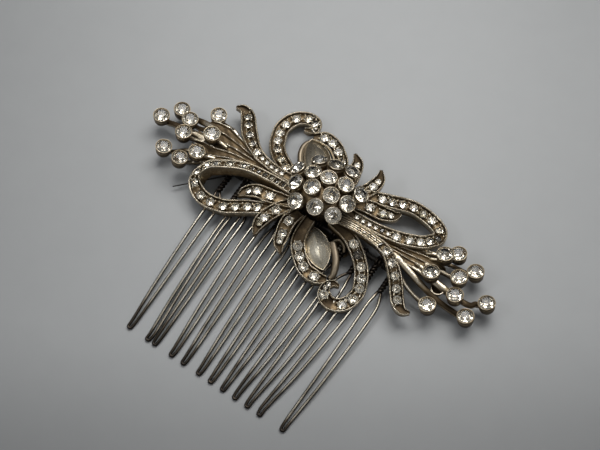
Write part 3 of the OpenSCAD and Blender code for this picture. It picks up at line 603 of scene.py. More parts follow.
def ribbon(P, mill=(True, True), rim=0.5, deep=1.0, step=0.28, T=(), r_stone=1.1, small=(), r_small=0.55, bars=(), ridges=()):
    b = Build()
    Q = resample(curve(P, 24), step)
    S = side_of(Q)
    S, U = rolled(Q, S)
    w, h = np.maximum(Q[:, 3] / 2, 0.24), Q[:, 4]
    prof, wear_and_shade = ribbon_profile(w, h, rim, deep)
    wob = 1 + 0.012 * np.sin(np.linspace(0, 31, len(Q)))[:, None]
    prof[:, :, 0] *= wob
    wear_and_shade = np.array(wear_and_shade)[None] + 0 * w[:, None]
    hollow = np.r_[0:5, len(wear_and_shade[0]) - 4:len(wear_and_shade[0])]  # painted shade: the sunk floor gets darker where the ribbon narrows and is too shallow to lie in shade
    wear_and_shade[:, hollow] += 0.5 * np.clip(1.35 - w, 0, 0.7)[:, None]
    tq = np.linspace(0, len(P) - 1, len(Q))
    if len(T) and not len(ridges) and not len(small):
        wear_and_shade += 0.3 * np.clip((min(T) - 0.35 - tq) / 0.3, 0, 1)[:, None]
    if len(T):
        wear_and_shade[:, hollow] += 0.32 * np.clip((tq - max(T) - 0.3) / 0.3, 0, 1)[:, None]
    sweep(b, Q, S, U, prof, np.clip(wear_and_shade, 0, 1))
    r = np.minimum(rim, w * 0.36)
    for side, on in zip((1, -1), mill):
        if on:
            milgrain(b, Q, S, side * (w - r * 0.5), skip=1, U=U)
    if len(T):
        prongs(b, P, T, r_stone)
    for t in small:
        p = at(P, t)
        g = (at(P, min(t + 0.02, len(P) - 1)) - at(P, max(t - 0.02, 0)))[:2]
        g = g / np.linalg.norm(g)
        n = np.array([g[1], -g[0]])
        for a in (-1, 1):
            c = [[*(p[:2] + g * a * 0.62 + n * q * 0.5), p[2] - 0.36] for q in (-1, 1)]
            b.many(*BALL, c, np.array([[0.2, 0.2, 0.5]] * 2), wear_and_shade=0.3)
    for x0, t0, t1 in ridges:  # ridges that run along a channel
        m = (np.linspace(0, len(P) - 1, len(Q)) >= t0) & (np.linspace(0, len(P) - 1, len(Q)) <= t1)
        k = (Q[:, :3] + S * (x0 * w)[:, None] - 0.3 * U)[m]
        tube(b, k, 0.2, 8, 0.22)
    for t in bars:  # plain cross ribs in a channel
        p = at(P, t)
        g = (at(P, min(t + 0.02, len(P) - 1)) - at(P, max(t - 0.02, 0)))[:2]
        g = g / np.linalg.norm(g)
        a0 = math.radians(p[5]) if len(p) > 5 else 0.0
        n3 = np.array([g[1] * math.cos(a0), -g[0] * math.cos(a0), math.sin(a0)])
        u3 = np.array([-g[1] * math.sin(a0), g[0] * math.sin(a0), math.cos(a0)])
        w0 = p[3] / 2 - 0.4
        line = np.array([p[:3] + n3 * x - 0.32 * u3 for x in np.linspace(-w0, w0, 7)])
        tube(b, line, 0.2, 8, 0.25)
    return b


def gems_for(node_name, sets, sign, dz=-0.1):
    b = Build()
    for P, T, r, dull, dark in sets:
        set_stones(b, P, T, r, dz=dz, dull=dull, dark=dark)
    return b.make("v_" + node_name, STONE_MATS, [node_name], "clear_stone", sign)


def leaf_edge(P):
    """A leaf keeps its width further towards its tip than the plain ribbon."""
    P = [list(q) for q in P]
    P[3][3] += 0.5
    return P


SIDES = ((1, "right", "lower"), (-1, "left", "upper"))

for sign, lr, lu in SIDES:
    LOOP, LOOP_T = half(sign, LOOP_R, LOOP_L), half(sign, LOOP_T_R, LOOP_T_L)
    PLUME = half(sign, PLUME_R, PLUME_L)
    SCROLL, SCROLL_T = half(sign, SCROLL_D, SCROLL_U), half(sign, SCROLL_T_D, SCROLL_T_U)
    CRESCENT, CRESCENT_T = half(sign, CRESCENT_D, CRESCENT_U), half(sign, CRESCENT_T_D, CRESCENT_T_U)
    BAR = half(sign, BAR_D, BAR_U)
    LEAVES = (("outer", half(sign, LEAF_OUTER_D, LEAF_OUTER_U)), ("middle", half(sign, LEAF_MIDDLE_D, LEAF_MIDDLE_U)), ("inner", half(sign, LEAF_INNER_R, LEAF_INNER_L)))
    ribs = [9.25 + 0.2 * i for i in range(8)] if sign < 0 else ()
    b = ribbon(LOOP, T=LOOP_T, small=LOOP_SMALL_T if sign > 0 else (), bars=ribs)
    b.make("v_loop_" + lr, [CAST], ["loop_" + lr], "cast_silver", sign)
    gems_for("loop_stones_" + lr, [(LOOP, LOOP_T, 1.1, 0.22, 0.03), (LOOP, LOOP_SMALL_T, 0.58, 0.2, 0.05 if sign > 0 else 0.8)], sign)

    lines = ((-0.42, 0.4, 2.9), (0.0, 0.4, 2.9), (0.42, 0.4, 2.9)) if sign > 0 else ()
    b = ribbon(PLUME, T=PLUME_T, small=PLUME_SMALL_T if sign < 0 else (), ridges=lines)
    b.make("v_plume_" + lr, [CAST], ["plume_" + lr], "cast_silver", sign)
    gems_for("plume_stones_" + lr, [(PLUME, PLUME_T, 1.07, 0.22, 0.03), (PLUME, PLUME_SMALL_T, 0.58, 0.2, 0.1 if sign < 0 else 0.7)], sign)

    ribbon(SCROLL, T=SCROLL_T).make("v_scroll_" + lu, [CAST], ["scroll_" + lu], "cast_silver", sign)
    gems_for("scroll_stones_" + lu, [(SCROLL, SCROLL_T, 1.18, 0.12, 0.03), (SCROLL, [8.72, 9.3], 0.6, 0.1, 0.0)], sign)
    ribbon(CRESCENT, T=CRESCENT_T, rim=0.42).make("v_crescent_" + lu, [CAST], ["crescent_" + lu], "cast_silver", sign)
    gems_for("crescent_stones_" + lu, [(CRESCENT, CRESCENT_T, 1.26, 0.0, 0.0)], sign)

    leaf_sets = []
    for nm, P in LEAVES:
        part = lr if nm == "inner" else lu
        ribbon(leaf_edge(P), T=LEAF_T[nm], rim=0.4, deep=1.1).make(f"v_leaf_{nm}_{part}", [CAST], [f"leaf_{nm}_{part}"], "cast_silver", sign)
        leaf_sets.append((P, LEAF_T[nm], 1.14, 0.22, 0.0))
        leaf_sets.append((P, [2.72], 0.8, 0.2, 0.0))
    gems_for("leaf_stones_" + lu, leaf_sets, sign)

    # plain bar: a smooth rounded section, with a small arch beside it on the lower side
    b = Build()
    Q = resample(curve(BAR, 20), 0.25)
    S = side_of(Q)
    U = np.tile([0, 0, 1.0], (len(Q), 1))
    a = np.linspace(0, math.pi, 13)
    w = Q[:, 3:4] / 2
    xs = np.concatenate([w * np.cos(a), -w * 0.96 + 0 * w, w * 0.96 + 0 * w], 1)
    ys = np.concatenate([0 * w + 0.62 * (np.sin(a) - 1), -Q[:, 4:5], -Q[:, 4:5]], 1)
    # lighter along the top of the rounded section, darker down its sides: a painted soft highlight
    sweep(b, Q, S, U, np.stack([xs, ys], 2), np.r_[0.95, 0.92, 0.86, 0.8, 0.74, 0.7, 0.68, 0.7, 0.74, 0.8, 0.86, 0.92, 0.95, 0.95, 0.95])
    if sign > 0:
        A = resample(curve([[8.2, -7.4, 4.9], [8.1, -6, 5.6], [9.2, -5.1, 5.7], [10.8, -5.7, 5.2], [11.5, -6.8, 4.6]], 16), 0.2)
        tube(b, A, 0.34, 12, 0.85)
    b.make("v_bar_" + lu, [BROWN], ["bar_" + lu], "bright_silver", sign)


# ---------------------------------------------------------------- cups
CUP_PROFILE = [(0, -2.9), (1.42, -2.9), (1.66, -2.78), (1.8, -2.4), (1.88, -1.8), (1.93, -1.3), (1.95, -1.0), (1.92, -0.84),
               (1.82, -0.74), (1.84, -0.62), (1.95, -0.52), (2.02, -0.34), (2.035, -0.16), (2.03, -0.04), (1.99, 0.02), (1.93, 0.03),
               (1.87, 0.0), (1.84, -0.08), (1.84, -0.14), (1.9, -0.22), (1.89, -0.75), (1.2, -1.75), (0.4, -2.0), (0, -2.02)]
# per profile point, wear and painted shade: the rim rubbed bright; the outer wall painted darker towards its foot and
# in the groove below the rim
CUP_WEAR_AND_SHADE = [1, 1, 0.98, 0.94, 0.9, 0.82, 0.55, 0.5, 1.0, 1.0, 0.86, 0.8, 0.7, 0.5, 0.32, 0.36, 0.52, 0.76, 0.8, 0.9, 1, 1, 1, 1]
CUP_V, CUP_F = lathe(CUP_PROFILE, 40)


def cup_wear_and_shade():
    mid = CUP_WEAR_AND_SHADE[1:-1]
    return np.r_[np.repeat(mid, 40), CUP_WEAR_AND_SHADE[0], CUP_WEAR_AND_SHADE[-1]]


def add_cup(b, c, R, beaded=True, light=0.0, k=1.0):
    w = cup_wear_and_shade() - light
    b.add((CUP_V * [k, k, 1] @ R.T) + c, [CUP_F], np.clip(w + rng.uniform(-0.06, 0.1), 0, 1))
    if beaded:
        a = np.arange(34) * TAU / 34
        P = np.stack([1.965 * np.cos(a), 1.965 * np.sin(a), 0 * a - 0.01], 1) @ R.T + c
        b.many(*BALL, P, 0.085, wear_and_shade=(0.26 if light > 0 else 0.46) + rng.uniform(0, 0.25, 34))


def add_cup_gem(b, c, R, dull, dark):
    V, F, M = CUP_GEM
    k = rng.uniform()
    mats = np.where(M == 1, 2 if k < dull else (3 if k < dull + dark else 1), 0)
    a = rng.uniform(0, TAU)
    spin = np.array([[math.cos(a), -math.sin(a), 0], [math.sin(a), math.cos(a), 0], [0, 0, 1]])
    b.many(V * 1.9, F, [np.asarray(c) + R @ [0, 0, -0.14]], 1.0, [R @ spin], wear_and_shade=0.0, mats=mats, smooth=False)


b, g = Build(), Build()
seats = []
for x, y in CLUSTER:
    d = np.array([x - DOME_X, y - DOME_Y])
    q = np.linalg.norm(d)
    th = math.asin(q / (DOME_R + CUP_H))
    ax = np.array([d[0] / max(q, 1e-9) * math.sin(th), d[1] / max(q, 1e-9) * math.sin(th), math.cos(th)])
    c = np.array([DOME_X, DOME_Y, DOME_TOP - DOME_R]) + ax * (DOME_R + CUP_H)
    R = onto(unit(ax + rng.normal(0, 0.035, 3)))
    add_cup(b, c, R, light=0.2, k=1.03)
    add_cup_gem(g, c, R, 0.05, 0.0)
    seats.append((c, R))
b.make("v_cluster_cups", [CAST], ["cluster_cups"], "cast_silver")
g.make("v_cluster_stones", STONE_MATS, ["cluster_stones"], "clear_stone")

# ---------------------------------------------------------------- cluster plate and post
b = Build()
rr = np.linspace(0, 5.7, 18)
prof = [(r, DOME_TOP - DOME_R + math.sqrt(DOME_R ** 2 - r * r) - 0.02) for r in rr]
prof += [(5.8, 11.3), (5.7, 10.6), (5.2, 9.6), (4.6, 9.02), (3.0, 9.0), (0, 9.0)]
V, F = lathe(prof, 72)
b.add(V + [DOME_X, DOME_Y, 0], [F], 0.75)
for c, R in seats:  # the lobe that carries each cup
    V, F = lathe([(0, -2.2), (1.4, -2.2), (1.62, -2.5), (1.62, -2.9), (1.45, -3.3), (1.0, -3.5), (0, -3.55)], 28)
    b.add(V @ R.T + c, [F], 0.68)
    d = (c[:2] - [DOME_X, DOME_Y])
    q = np.linalg.norm(d)
    if q > 5:
        foot = np.array([DOME_X + d[0] * 0.5, DOME_Y + d[1] * 0.5, 9.3])
        top = c - R @ np.array([0, 0, 3.2])
        tube(b, np.array([foot, foot * 0.5 + top * 0.5 - [0, 0, 0.2], top]), 0.75, 12, 0.85)
b.make("v_cluster_plate", [CAST], ["cluster_plate"], "cast_silver")


def outline_prism(b, pts, rings, wear_and_shade):
    """Solid from a closed outline drawn in, ring by ring: rings are (inset mm, z)."""
    pts = np.asarray(pts, float)
    c = pts.mean(0)
    e = np.roll(pts, -1, 0) - np.roll(pts, 1, 0)
    n = unit(np.stack([e[:, 1], -e[:, 0]], 1))
    if ((pts - c) * n).sum() < 0:
        n = -n
    V = np.concatenate([np.c_[pts - n * i, np.full(len(pts), z)] for i, z in rings])
    m = len(pts)
    V = np.concatenate([V, [[*c, rings[0][1]], [*c, rings[-1][1]]]])
    j = np.arange(m)
    k = (j + 1) % m
    e0 = (len(rings) - 1) * m
    caps = np.concatenate([np.stack([k, j, 0 * j + len(rings) * m], 1), np.stack([j + e0, k + e0, 0 * j + len(rings) * m + 1], 1)])
    w = np.r_[np.repeat(np.asarray(wear_and_shade, float), m), wear_and_shade[0], wear_and_shade[-1]]
    b.add(V, [grid_faces(len(rings), m), caps], w)


def rounded_rect(x0, x1, y0, y1, r, n=8):
    out = []
    for cx, cy, a0 in ((x1 - r, y1 - r, 0), (x0 + r, y1 - r, 90), (x0 + r, y0 + r, 180), (x1 - r, y0 + r, 270)):
        for i in range(n + 1):
            a = math.radians(a0 + 90 * i / n)
            out.append((cx + r * math.cos(a), cy + r * math.sin(a)))
    return out


b = Build()
outline_prism(b, rounded_rect(-12, 12, -7, 4, 1.6), [(0.25, 0.0), (0.08, 0.05), (0, 0.2), (0, 0.8), (0.08, 0.95), (0.25, 1.0)], [0.6, 0.5, 0.6, 0.7, 0.6, 0.85])
for x, y in ((-9.5, -5.2), (9.5, -5.2), (-9.5, 2.2), (9.5, 2.2)):  # solder spots
    V, F = lathe([(0, 1.35), (0.35, 1.32), (0.7, 1.18), (0.95, 1.02), (0.9, 0.9), (0, 0.9)], 24)
    b.add(V * [1 + 0.15 * rng.uniform(-1, 1), 1 + 0.15 * rng.uniform(-1, 1), 1] + [x, y, 0], [F], 0.15)
b.make("v_back_plate", [CAST], ["back_plate"], "dark_wire")

b = Build()
ang = np.linspace(0, TAU, 96, endpoint=False)
flute = 1 + 0.025 * np.cos(24 * ang)
zs = [(1.0, 1.0), (1.0, 4.3), (0.985, 4.6), (0.99, 6.0), (1.0, 7.5), (1.0, 9.0)]
cut = SPINE_Y + 1.6


def post_ring(scale, z):
    x, y = 5.4 * scale * flute * np.cos(ang), 1.5 + 5.4 * scale * flute * np.sin(ang)
    if z < 4.4:
        y = np.maximum(y, cut)
    return np.stack([x, y, 0 * x + z], 1)


V = np.concatenate([post_ring(s, z) for s, z in zs])
m = len(ang)
V = np.concatenate([V, [[0, 1.5, 1.0], [0, 1.5, 9.0]]])
j = np.arange(m)
k = (j + 1) % m
caps = np.concatenate([np.stack([k, j, 0 * j + len(zs) * m], 1), np.stack([j + (len(zs) - 1) * m, k + (len(zs) - 1) * m, 0 * j + len(zs) * m + 1], 1)])
b.add(V, [grid_faces(len(zs), m), caps], 0.85)
b.make("v_center_post", [CAST], ["center_post"], "cast_silver")


# ---------------------------------------------------------------- sprays
def stalk_path(p, m):
    """From the root of the spray by its bend to the cup, as CAD has it."""
    e = np.array([p[0] - m[0], p[1] - m[1]])
    e = e / np.linalg.norm(e)
    z = min(p[2] - CUP_H + 0.3, m[2] + 0.6)
    return [[20, p[1] * 0.12, 7.7, 0.9, 1.2], [m[0], m[1], m[2], 0.9, 1.2],
            [p[0] - 2.2 * e[0], p[1] - 2.2 * e[1], z, 1.0, 1.3], [p[0] - 1.1 * e[0], p[1] - 1.1 * e[1], z - 0.1, 1.0, 1.2]]


def fan_piece(FAN, SPRAY, BEND, ridges, x1):
    """A thin web with a few smooth ridges that spread from its root, and the stalks that leave it."""
    b = Build()
    F = np.array(FAN, float)
    nx, ny = 96, 108
    s = np.linspace(0, 1, nx)
    v = np.linspace(0, 1, ny)
    lobes = np.interp(v, np.linspace(0, 1, 41), [abs(math.sin(math.pi * 5 * t / 40)) for t in range(41)])
    end = x1 - 2.2 + 2.0 * lobes - 1.5 * (2 * v - 1) ** 2
    X = 16 + (end[None] - 16) * s[:, None]
    lo, hi, zt = (np.interp(X, F[:, 0], F[:, k]) for k in (1, 2, 3))
    Y = lo + (hi - lo) * v[None]
    ridge = 0 * X
    for v0, t0, wd in ridges:  # place across the fan, where along it starts, half-width
        d = (v[None] - v0) * (hi - lo)
        on = np.clip((s[:, None] - t0) / 0.12, 0, 1)
        ridge = np.maximum(ridge, on * np.exp(-(np.abs(d) / (0.86 * wd)) ** 2.4))
    sag = np.sin(np.pi * v)[None] * np.clip((X - 20) / 10, 0, 1)
    Z = zt - 0.5 + 0.62 * ridge - 0.45 * sag + 0.03 * np.sin(X * 2.3 + Y * 3.1)
    edge = np.minimum(v, 1 - v) * ny
    Z -= np.where(edge < 2, (2 - edge) * 0.1, 0)
    top = np.stack([X, Y, Z], 2).reshape(-1, 3)
    bot = np.stack([X, Y, zt - 1.2 - 0.45 * sag + 0.1 * ridge], 2).reshape(-1, 3)
    wt = np.clip(0.88 - 0.8 * ridge.ravel() ** 1.3, 0, 1)
    n = len(top)
    q = grid_faces(nx, ny, wrap=False)
    border = np.concatenate([np.arange(ny), np.arange(1, nx) * ny + ny - 1, (nx - 1) * ny + np.arange(ny - 2, -1, -1), np.arange(nx - 2, 0, -1) * ny])
    nb = np.roll(border, -1)
    rim = np.stack([border, nb, nb + n, border + n], 1)
    b.add(np.concatenate([top, bot]), [q, q[:, ::-1] + n, rim[:, ::-1]], np.r_[wt, np.full(n, 0.9)])
    for p, m in zip(SPRAY, BEND):
        Q = resample(curve(stalk_path(p, m), 18), 0.25)
        inside = (Q[:, 1] > np.interp(Q[:, 0], F[:, 0], F[:, 1]) - 0.2) & (Q[:, 1] < np.interp(Q[:, 0], F[:, 0], F[:, 2]) + 0.2) & (Q[:, 0] < x1 - 2)
        first = max(int(np.nonzero(inside)[0].max()) - 14, 4) if inside.any() else 4
        Q = Q[first:]
        Q[:8, 2] -= np.linspace(0.7, 0, 8)
        if p[0] > 43:
            Q[:, 3] += np.linspace(0.9, 0.45, len(Q))
        S = side_of(Q)
        U = np.tile([0, 0, 1.0], (len(Q), 1))
        w = Q[:, 3] / 2
        h = Q[:, 4]
        half_p = [(0.0, 0.0), (0.45, -0.03), (0.8, -0.13), (0.97, -0.32), (1.0, -0.55)]
        xs = np.concatenate([np.stack([w * a for a, _ in half_p], 1), (w * 0.8)[:, None], (-w * 0.8)[:, None], np.stack([-w * a for a, _ in half_p[:0:-1]], 1)], 1)
        ys = np.concatenate([np.stack([0 * w + c for _, c in half_p], 1), -h[:, None], -h[:, None], np.stack([0 * w + c for _, c in half_p[:0:-1]], 1)], 1)
        # lighter along the top of each stalk, with painted shade down its sides and underneath
        ws = np.r_[0.22, 0.26, 0.42, 0.75, 0.92, 0.98, 0.98, 0.92, 0.75, 0.42, 0.26] + np.zeros((len(Q), 1))
        if p[0] > 40:  # the outer stalks turn dark on top near their cups, with a painted highlight along each upper edge
            dark = np.clip((np.linspace(0, 1, len(Q)) - 0.42) / 0.16, 0, 1)
            ws[:, [0, 1, 2, -1, -2]] += 0.8 * dark[:, None]
            ws[:, [3, -3]] -= 0.35 * dark[:, None]
        sweep(b, Q, S, U, np.stack([xs, ys], 2), np.clip(ws, 0, 1))
    return b


FAN_RIDGES = {1: [(0.04, 0, 0.25), (0.3, 0.1, 0.22), (0.52, 0.2, 0.22), (0.74, 0.1, 0.22), (0.96, 0, 0.25)],
              -1: [(0.03, 0, 0.26), (0.2, 0.15, 0.25), (0.38, 0.1, 0.26), (0.56, 0.25, 0.25), (0.76, 0.1, 0.26), (0.97, 0, 0.26)]}

for sign, lr, lu in SIDES:
    SPRAY, BEND, FAN = half(sign, SPRAY_R, SPRAY_L), half(sign, BEND_R, BEND_L), half(sign, FAN_R, FAN_L)
    b = fan_piece(FAN, SPRAY, BEND, FAN_RIDGES[sign], FAN[-1][0])
    b.make("v_spray_fan_" + lr, [CAST], ["spray_fan_" + lr], "cast_silver", sign)
    b, g = Build(), Build()
    for x, y, z in SPRAY:
        t = math.radians(SPRAY_TILT)
        lean = 0.17 * sign * np.array([-0.559, 0.829, 0])  # all lean a little towards the top of the comb
        ax = unit(np.array([math.sin(t), 0, math.cos(t)]) + lean + rng.normal(0, 0.03, 3))
        c = np.array([x, y, z])
        R = onto(ax)
        add_cup(b, c, R, light=-0.06, k=1.05)
        add_cup_gem(g, c, R, 0.05, 0.08)
    if sign > 0:  # one lower cup has lost its stone
        V, F = lathe([(0, 3.1), (1.2, 3.12), (1.55, 3.3), (1.7, 4.1), (1.8, 4.6), (1.81, 4.95), (1.74, 5.08), (1.6, 5.1), (1.5, 5.0), (1.47, 4.5), (1.35, 4.0), (0.6, 3.9), (0, 3.9)], 36)
        b.add(V + [35.2, -1.9, 0], [F], np.r_[np.repeat([0.9, 0.85, 0.8, 0.7, 0.5, 0.3, 0.25, 0.3, 0.8, 1, 1], 36), 0.9, 1])
    b.make("v_spray_cups_" + lr, [CAST], ["spray_cups_" + lr], "cast_silver", sign)
    g.make("v_spray_stones_" + lr, STONE_MATS, ["spray_stones_" + lr], "clear_stone", sign)


# ---------------------------------------------------------------- marquise stones
def smoky(name, a, b_, rough, metallic):
    m, nt, bsdf = new_mat(name)
    co = node(nt, "ShaderNodeTexCoord").outputs["Object"]
    n = noise(nt, co, 260, 5, 0.6)
    n2 = noise(nt, co, 1900, 4, 0.6)
    k = math_node(nt, "ADD", math_node(nt, "MULTIPLY", n, 0.7), math_node(nt, "MULTIPLY", n2, 0.3))
    nt.links.new(ramp(nt, k, [(0.32, a), (0.68, b_)]), bsdf.inputs["Base Color"])
    nt.links.new(remap(nt, k, 0.3, 0.7, *rough), bsdf.inputs["Roughness"])
    bsdf.inputs["Metallic"].default_value = metallic
    bsdf.inputs["Coat Weight"].default_value = 0.9
    bsdf.inputs["Coat Roughness"].default_value = 0.04
    bsdf.inputs["Coat IOR"].default_value = 1.6
    return m


SMOKY = smoky("aged_foiled_stone", (0.97, 0.92, 0.78), (0.66, 0.585, 0.44), (0.2, 0.34), 0.72)
SMOKY_BROWN = smoky("aged_foiled_stone_brown", (0.50, 0.45, 0.355), (0.24, 0.205, 0.145), (0.2, 0.36), 0.88)


def oval_outline(l, w, n):
    R = (l * l + w * w) / (4 * w)
    a = math.asin(l / 2 / R)
    t = np.linspace(-a, a, n)
    up = np.stack([R * np.sin(t), R * np.cos(t) - (R - w / 2)], 1)
    dn = -up
    return np.concatenate([up[:-1], dn[:-1]])


def place_marq(v, sign):
    x, y, a = half(sign, MARQ_D, MARQ_U)
    z = MARQ_Z - (0.5 if sign < 0 else 0.0)
    a = math.radians(a)
    c, s = math.cos(a), math.sin(a)
    v = np.asarray(v, float)
    return np.stack([x + v[:, 0] * c - v[:, 1] * s, y + v[:, 0] * s + v[:, 1] * c, z + v[:, 2]], 1)


for sign, lr, lu in SIDES:
    l, w = MARQ_L, MARQ_W if sign > 0 else MARQ_W + 1.2
    # stone: long crown facets rising to a narrow ridge table
    n = 13
    g0 = oval_outline(l - 0.05, w - 0.05, n)
    g1 = oval_outline(l * 0.80, w * 0.72, 7)
    g2 = np.array([[-l * 0.24, 0.0], [-l * 0.10, 0.5], [l * 0.10, 0.5], [l * 0.24, 0.0], [l * 0.10, -0.5], [-l * 0.10, -0.5]])
    b = Build()
    rings = [np.c_[oval_outline(l - 0.3, w - 0.3, n), np.full(2 * n - 2, 0.05)], np.c_[g0, np.full(len(g0), 0.35)]]
    edge_h = 0.5
    crown = np.c_[g0 * [1, 1], np.full(len(g0), edge_h)]
    mid_s = oval_outline(l * 0.88, w * 0.66, n)
    mid = np.c_[mid_s, 1.25 - 0.35 * (np.abs(mid_s[:, 0]) / (l * 0.44)) ** 2]
    top_s = oval_outline(l * 0.76, w * 0.3, n)
    top = np.c_[top_s, 1.86 - 0.45 * (np.abs(top_s[:, 0]) / (l * 0.38)) ** 2]
    rid_s = oval_outline(l * 0.66, 0.16, n)
    rid = np.c_[rid_s, 2.26 - 0.6 * (np.abs(rid_s[:, 0]) / (l * 0.33)) ** 2]
    V = np.concatenate(rings + [crown, mid, top, rid])
    m = 2 * n - 2
    j = np.arange(m)
    k = (j + 1) % m
    V = np.concatenate([V, [[0, 0, 0.05], [0, 0, 2.32]]])
    caps = np.concatenate([np.stack([k, j, 0 * j + 6 * m], 1), np.stack([j + 5 * m, k + 5 * m, 0 * j + 6 * m + 1], 1)])
    b.add(place_marq(V, sign), [grid_faces(6, m), caps], 0.3, smooth=False)
    b.make("v_marquise_stone_" + lu, [SMOKY if sign > 0 else SMOKY_BROWN], ["marquise_stone_" + lu], "smoky_stone", sign)

    b = Build()
    V, ws = [], []
    for grow, z, wv in ((0.2, -1.2, 0.95), (0.42, -1.12, 0.8), (0.46, -0.6, 0.7), (0.46, 0.1, 0.55), (0.44, 0.38, 0.35), (0.36, 0.5, 0.25), (0.22, 0.52, 0.25),
                        (0.1, 0.46, 0.35), (0.04, 0.35, 0.6), (0.01, 0.05, 0.9), (-0.6, 0.0, 1.0), (-2.0, -0.05, 1.0)):
        q = oval_outline(l + 1.58 * grow if grow > 0 else l + grow, w + grow, 33)
        V.append(np.c_[q, np.full(len(q), z)])
        ws.append(np.full(len(q), wv))
    m = len(V[0])
    V = np.concatenate(V + [np.array([[0, 0, -1.2], [0, 0, -0.05]])])
    j = np.arange(m)
    k = (j + 1) % m
    caps = np.concatenate([np.stack([k, j, 0 * j + 12 * m], 1), np.stack([j + 11 * m, k + 11 * m, 0 * j + 12 * m + 1], 1)])
    b.add(place_marq(V, sign), [grid_faces(12, m), caps], np.r_[np.concatenate(ws), 0.9, 1.0])
    b.make("v_marquise_setting_" + lu, [CAST], ["marquise_setting_" + lu], "cast_silver", sign)


# ---------------------------------------------------------------- comb
def stem_x(i):
    return (i - 5.5) * TOOTH_PITCH


def wire_z(y):
    return WR + (SPINE_Z - WR) * (y - TIP_Y) / (SPINE_Y - TIP_Y)


def stem_path_v(i, ph, k=14):
    s = np.linspace(0, 1, STEM_TURNS * k + 1)
    a = np.radians(ph) + TAU * STEM_TURNS * s
    y = SPINE_Y - SPINE_D / 2 - WR + (STEM_END - SPINE_Y + SPINE_D / 2 + WR) * s
    return np.stack([stem_x(i) + TWIST_R * np.cos(a), y, wire_z(y) + TWIST_R * np.sin(a)], 1)


def strand_path_v(i, side, x):
    P = [[stem_x(i) + side * TWIST_R, STEM_END], [stem_x(i) * 0.4 + x * 0.6 + side * 0.1, STEM_END - 1.6],
         [x, STEM_END - 4], [x, STEM_END - 9], [x * 0.75 + (TIP_X[i] + side * 0.6) * 0.25, -29],
         [x * 0.4 + (TIP_X[i] + side * 0.6) * 0.6, -39], [TIP_X[i] + side * 0.55, TIP_Y + 3], [TIP_X[i] + side * 0.45, TIP_Y + 0.8]]
    Q = curve(P, 12)[2:]
    return np.c_[Q, wire_z(Q[:, 1])]


def wrap_path(i, s0, turns=1.0):
    a = np.linspace(0, TAU * turns, 30)
    r = SPINE_D / 2 + WR - 0.01
    x = stem_x(i) + s0 * (WR + 0.04) + s0 * 0.0 * a
    return np.stack([x + 0.0 * a, SPINE_Y - r * np.cos(a), SPINE_Z - r * np.sin(a)], 1)


for i in range(12):
    b = Build()
    tipx = TIP_X[i]
    aa = np.linspace(math.pi, TAU, 12)[1:-1]
    tip = np.stack([tipx + 0.43 * np.cos(aa), TIP_Y + 0.72 + 0.34 * np.sin(aa), 0 * aa + WR], 1)
    Q = np.concatenate([stem_path_v(i, 180)[:-1], strand_path_v(i, -1, LEFT_X[i]), tip, strand_path_v(i, 1, RIGHT_X[i])[::-1], stem_path_v(i, 0)[:-1][::-1]])
    y = Q[:, 1]
    w = np.interp(y, [TIP_Y, TIP_Y + 2.5, TIP_Y + 9, -30, -14, -11, -9.5, -4], [0.95, 0.76, 0.56, 0.5, 0.52, 0.7, 0.92, 1.0])
    w = np.clip(w + 0.1 * np.interp(y, np.linspace(TIP_Y, -4, 14), rng.uniform(-1, 1, 14)), 0, 1)
    # painted shade down the sides of each wire, leaving its top lighter
    tube(b, Q, WR, 16, w - 0.3 * np.clip((0.8 - w) / 0.2, 0, 1), painted_side_shade=3.2)
    for s in (-1, 1):
        P = wrap_path(i, s)
        ring = P[:-1]
        # a closed wrap: a torus of the wire round the spine
        n, m = 40, 12
        u, v = np.meshgrid(np.arange(n) * TAU / n, np.arange(m) * TAU / m, indexing="ij")
        r = SPINE_D / 2 + WR - 0.01
        x0 = stem_x(i) + s * (WR + 0.04)
        V = np.stack([x0 + WR * np.sin(v) + 0.12 * s * np.cos(u) * 0, SPINE_Y + (r + WR * np.cos(v)) * np.cos(u), SPINE_Z + (r + WR * np.cos(v)) * np.sin(u)], 2).reshape(-1, 3)
        q = grid_faces(n, m)
        last = np.stack([(n - 1) * m + np.arange(m), (n - 1) * m + (np.arange(m) + 1) % m, (np.arange(m) + 1) % m, np.arange(m)], 1)
        b.add(V, [q, last], 0.92)
    b.make(f"v_tooth_{i + 1:02d}", [WIRE], [f"tooth_{i + 1:02d}"], "tooth_wire")

b = Build()
n, m = 420, 24
x = np.linspace(-26, 26, n)
th = np.arange(m) * TAU / m
r = 0.715 + 0.035 * np.cos(2 * th[None] + x[:, None] * 2.2)
r *= np.clip((26.02 - np.abs(x)) / 0.25, 0.55, 1)[:, None] ** 0.5
V = np.stack([x[:, None] + 0 * r, SPINE_Y + r * np.cos(th), SPINE_Z + r * np.sin(th)], 2).reshape(-1, 3)
V = np.concatenate([V, [[-26, SPINE_Y, SPINE_Z], [26, SPINE_Y, SPINE_Z]]])
j = np.arange(m)
k = (j + 1) % m
caps = np.concatenate([np.stack([k, j, 0 * j + n * m], 1), np.stack([j + (n - 1) * m, k + (n - 1) * m, 0 * j + n * m + 1], 1)])
b.add(V, [grid_faces(n, m), caps], 0.7)
b.make("v_comb_spine", [BLACK], ["comb_spine"], "dark_wire")


def helix(x0, x1, turns, r):
    a = np.linspace(0, TAU * turns, int(turns * 28))
    x = np.linspace(x0, x1, len(a))
    rr = r + 0.02 * np.sin(a * 0.37)
    return np.stack([x, SPINE_Y + rr * np.sin(a), SPINE_Z - rr * np.cos(a)], 1)


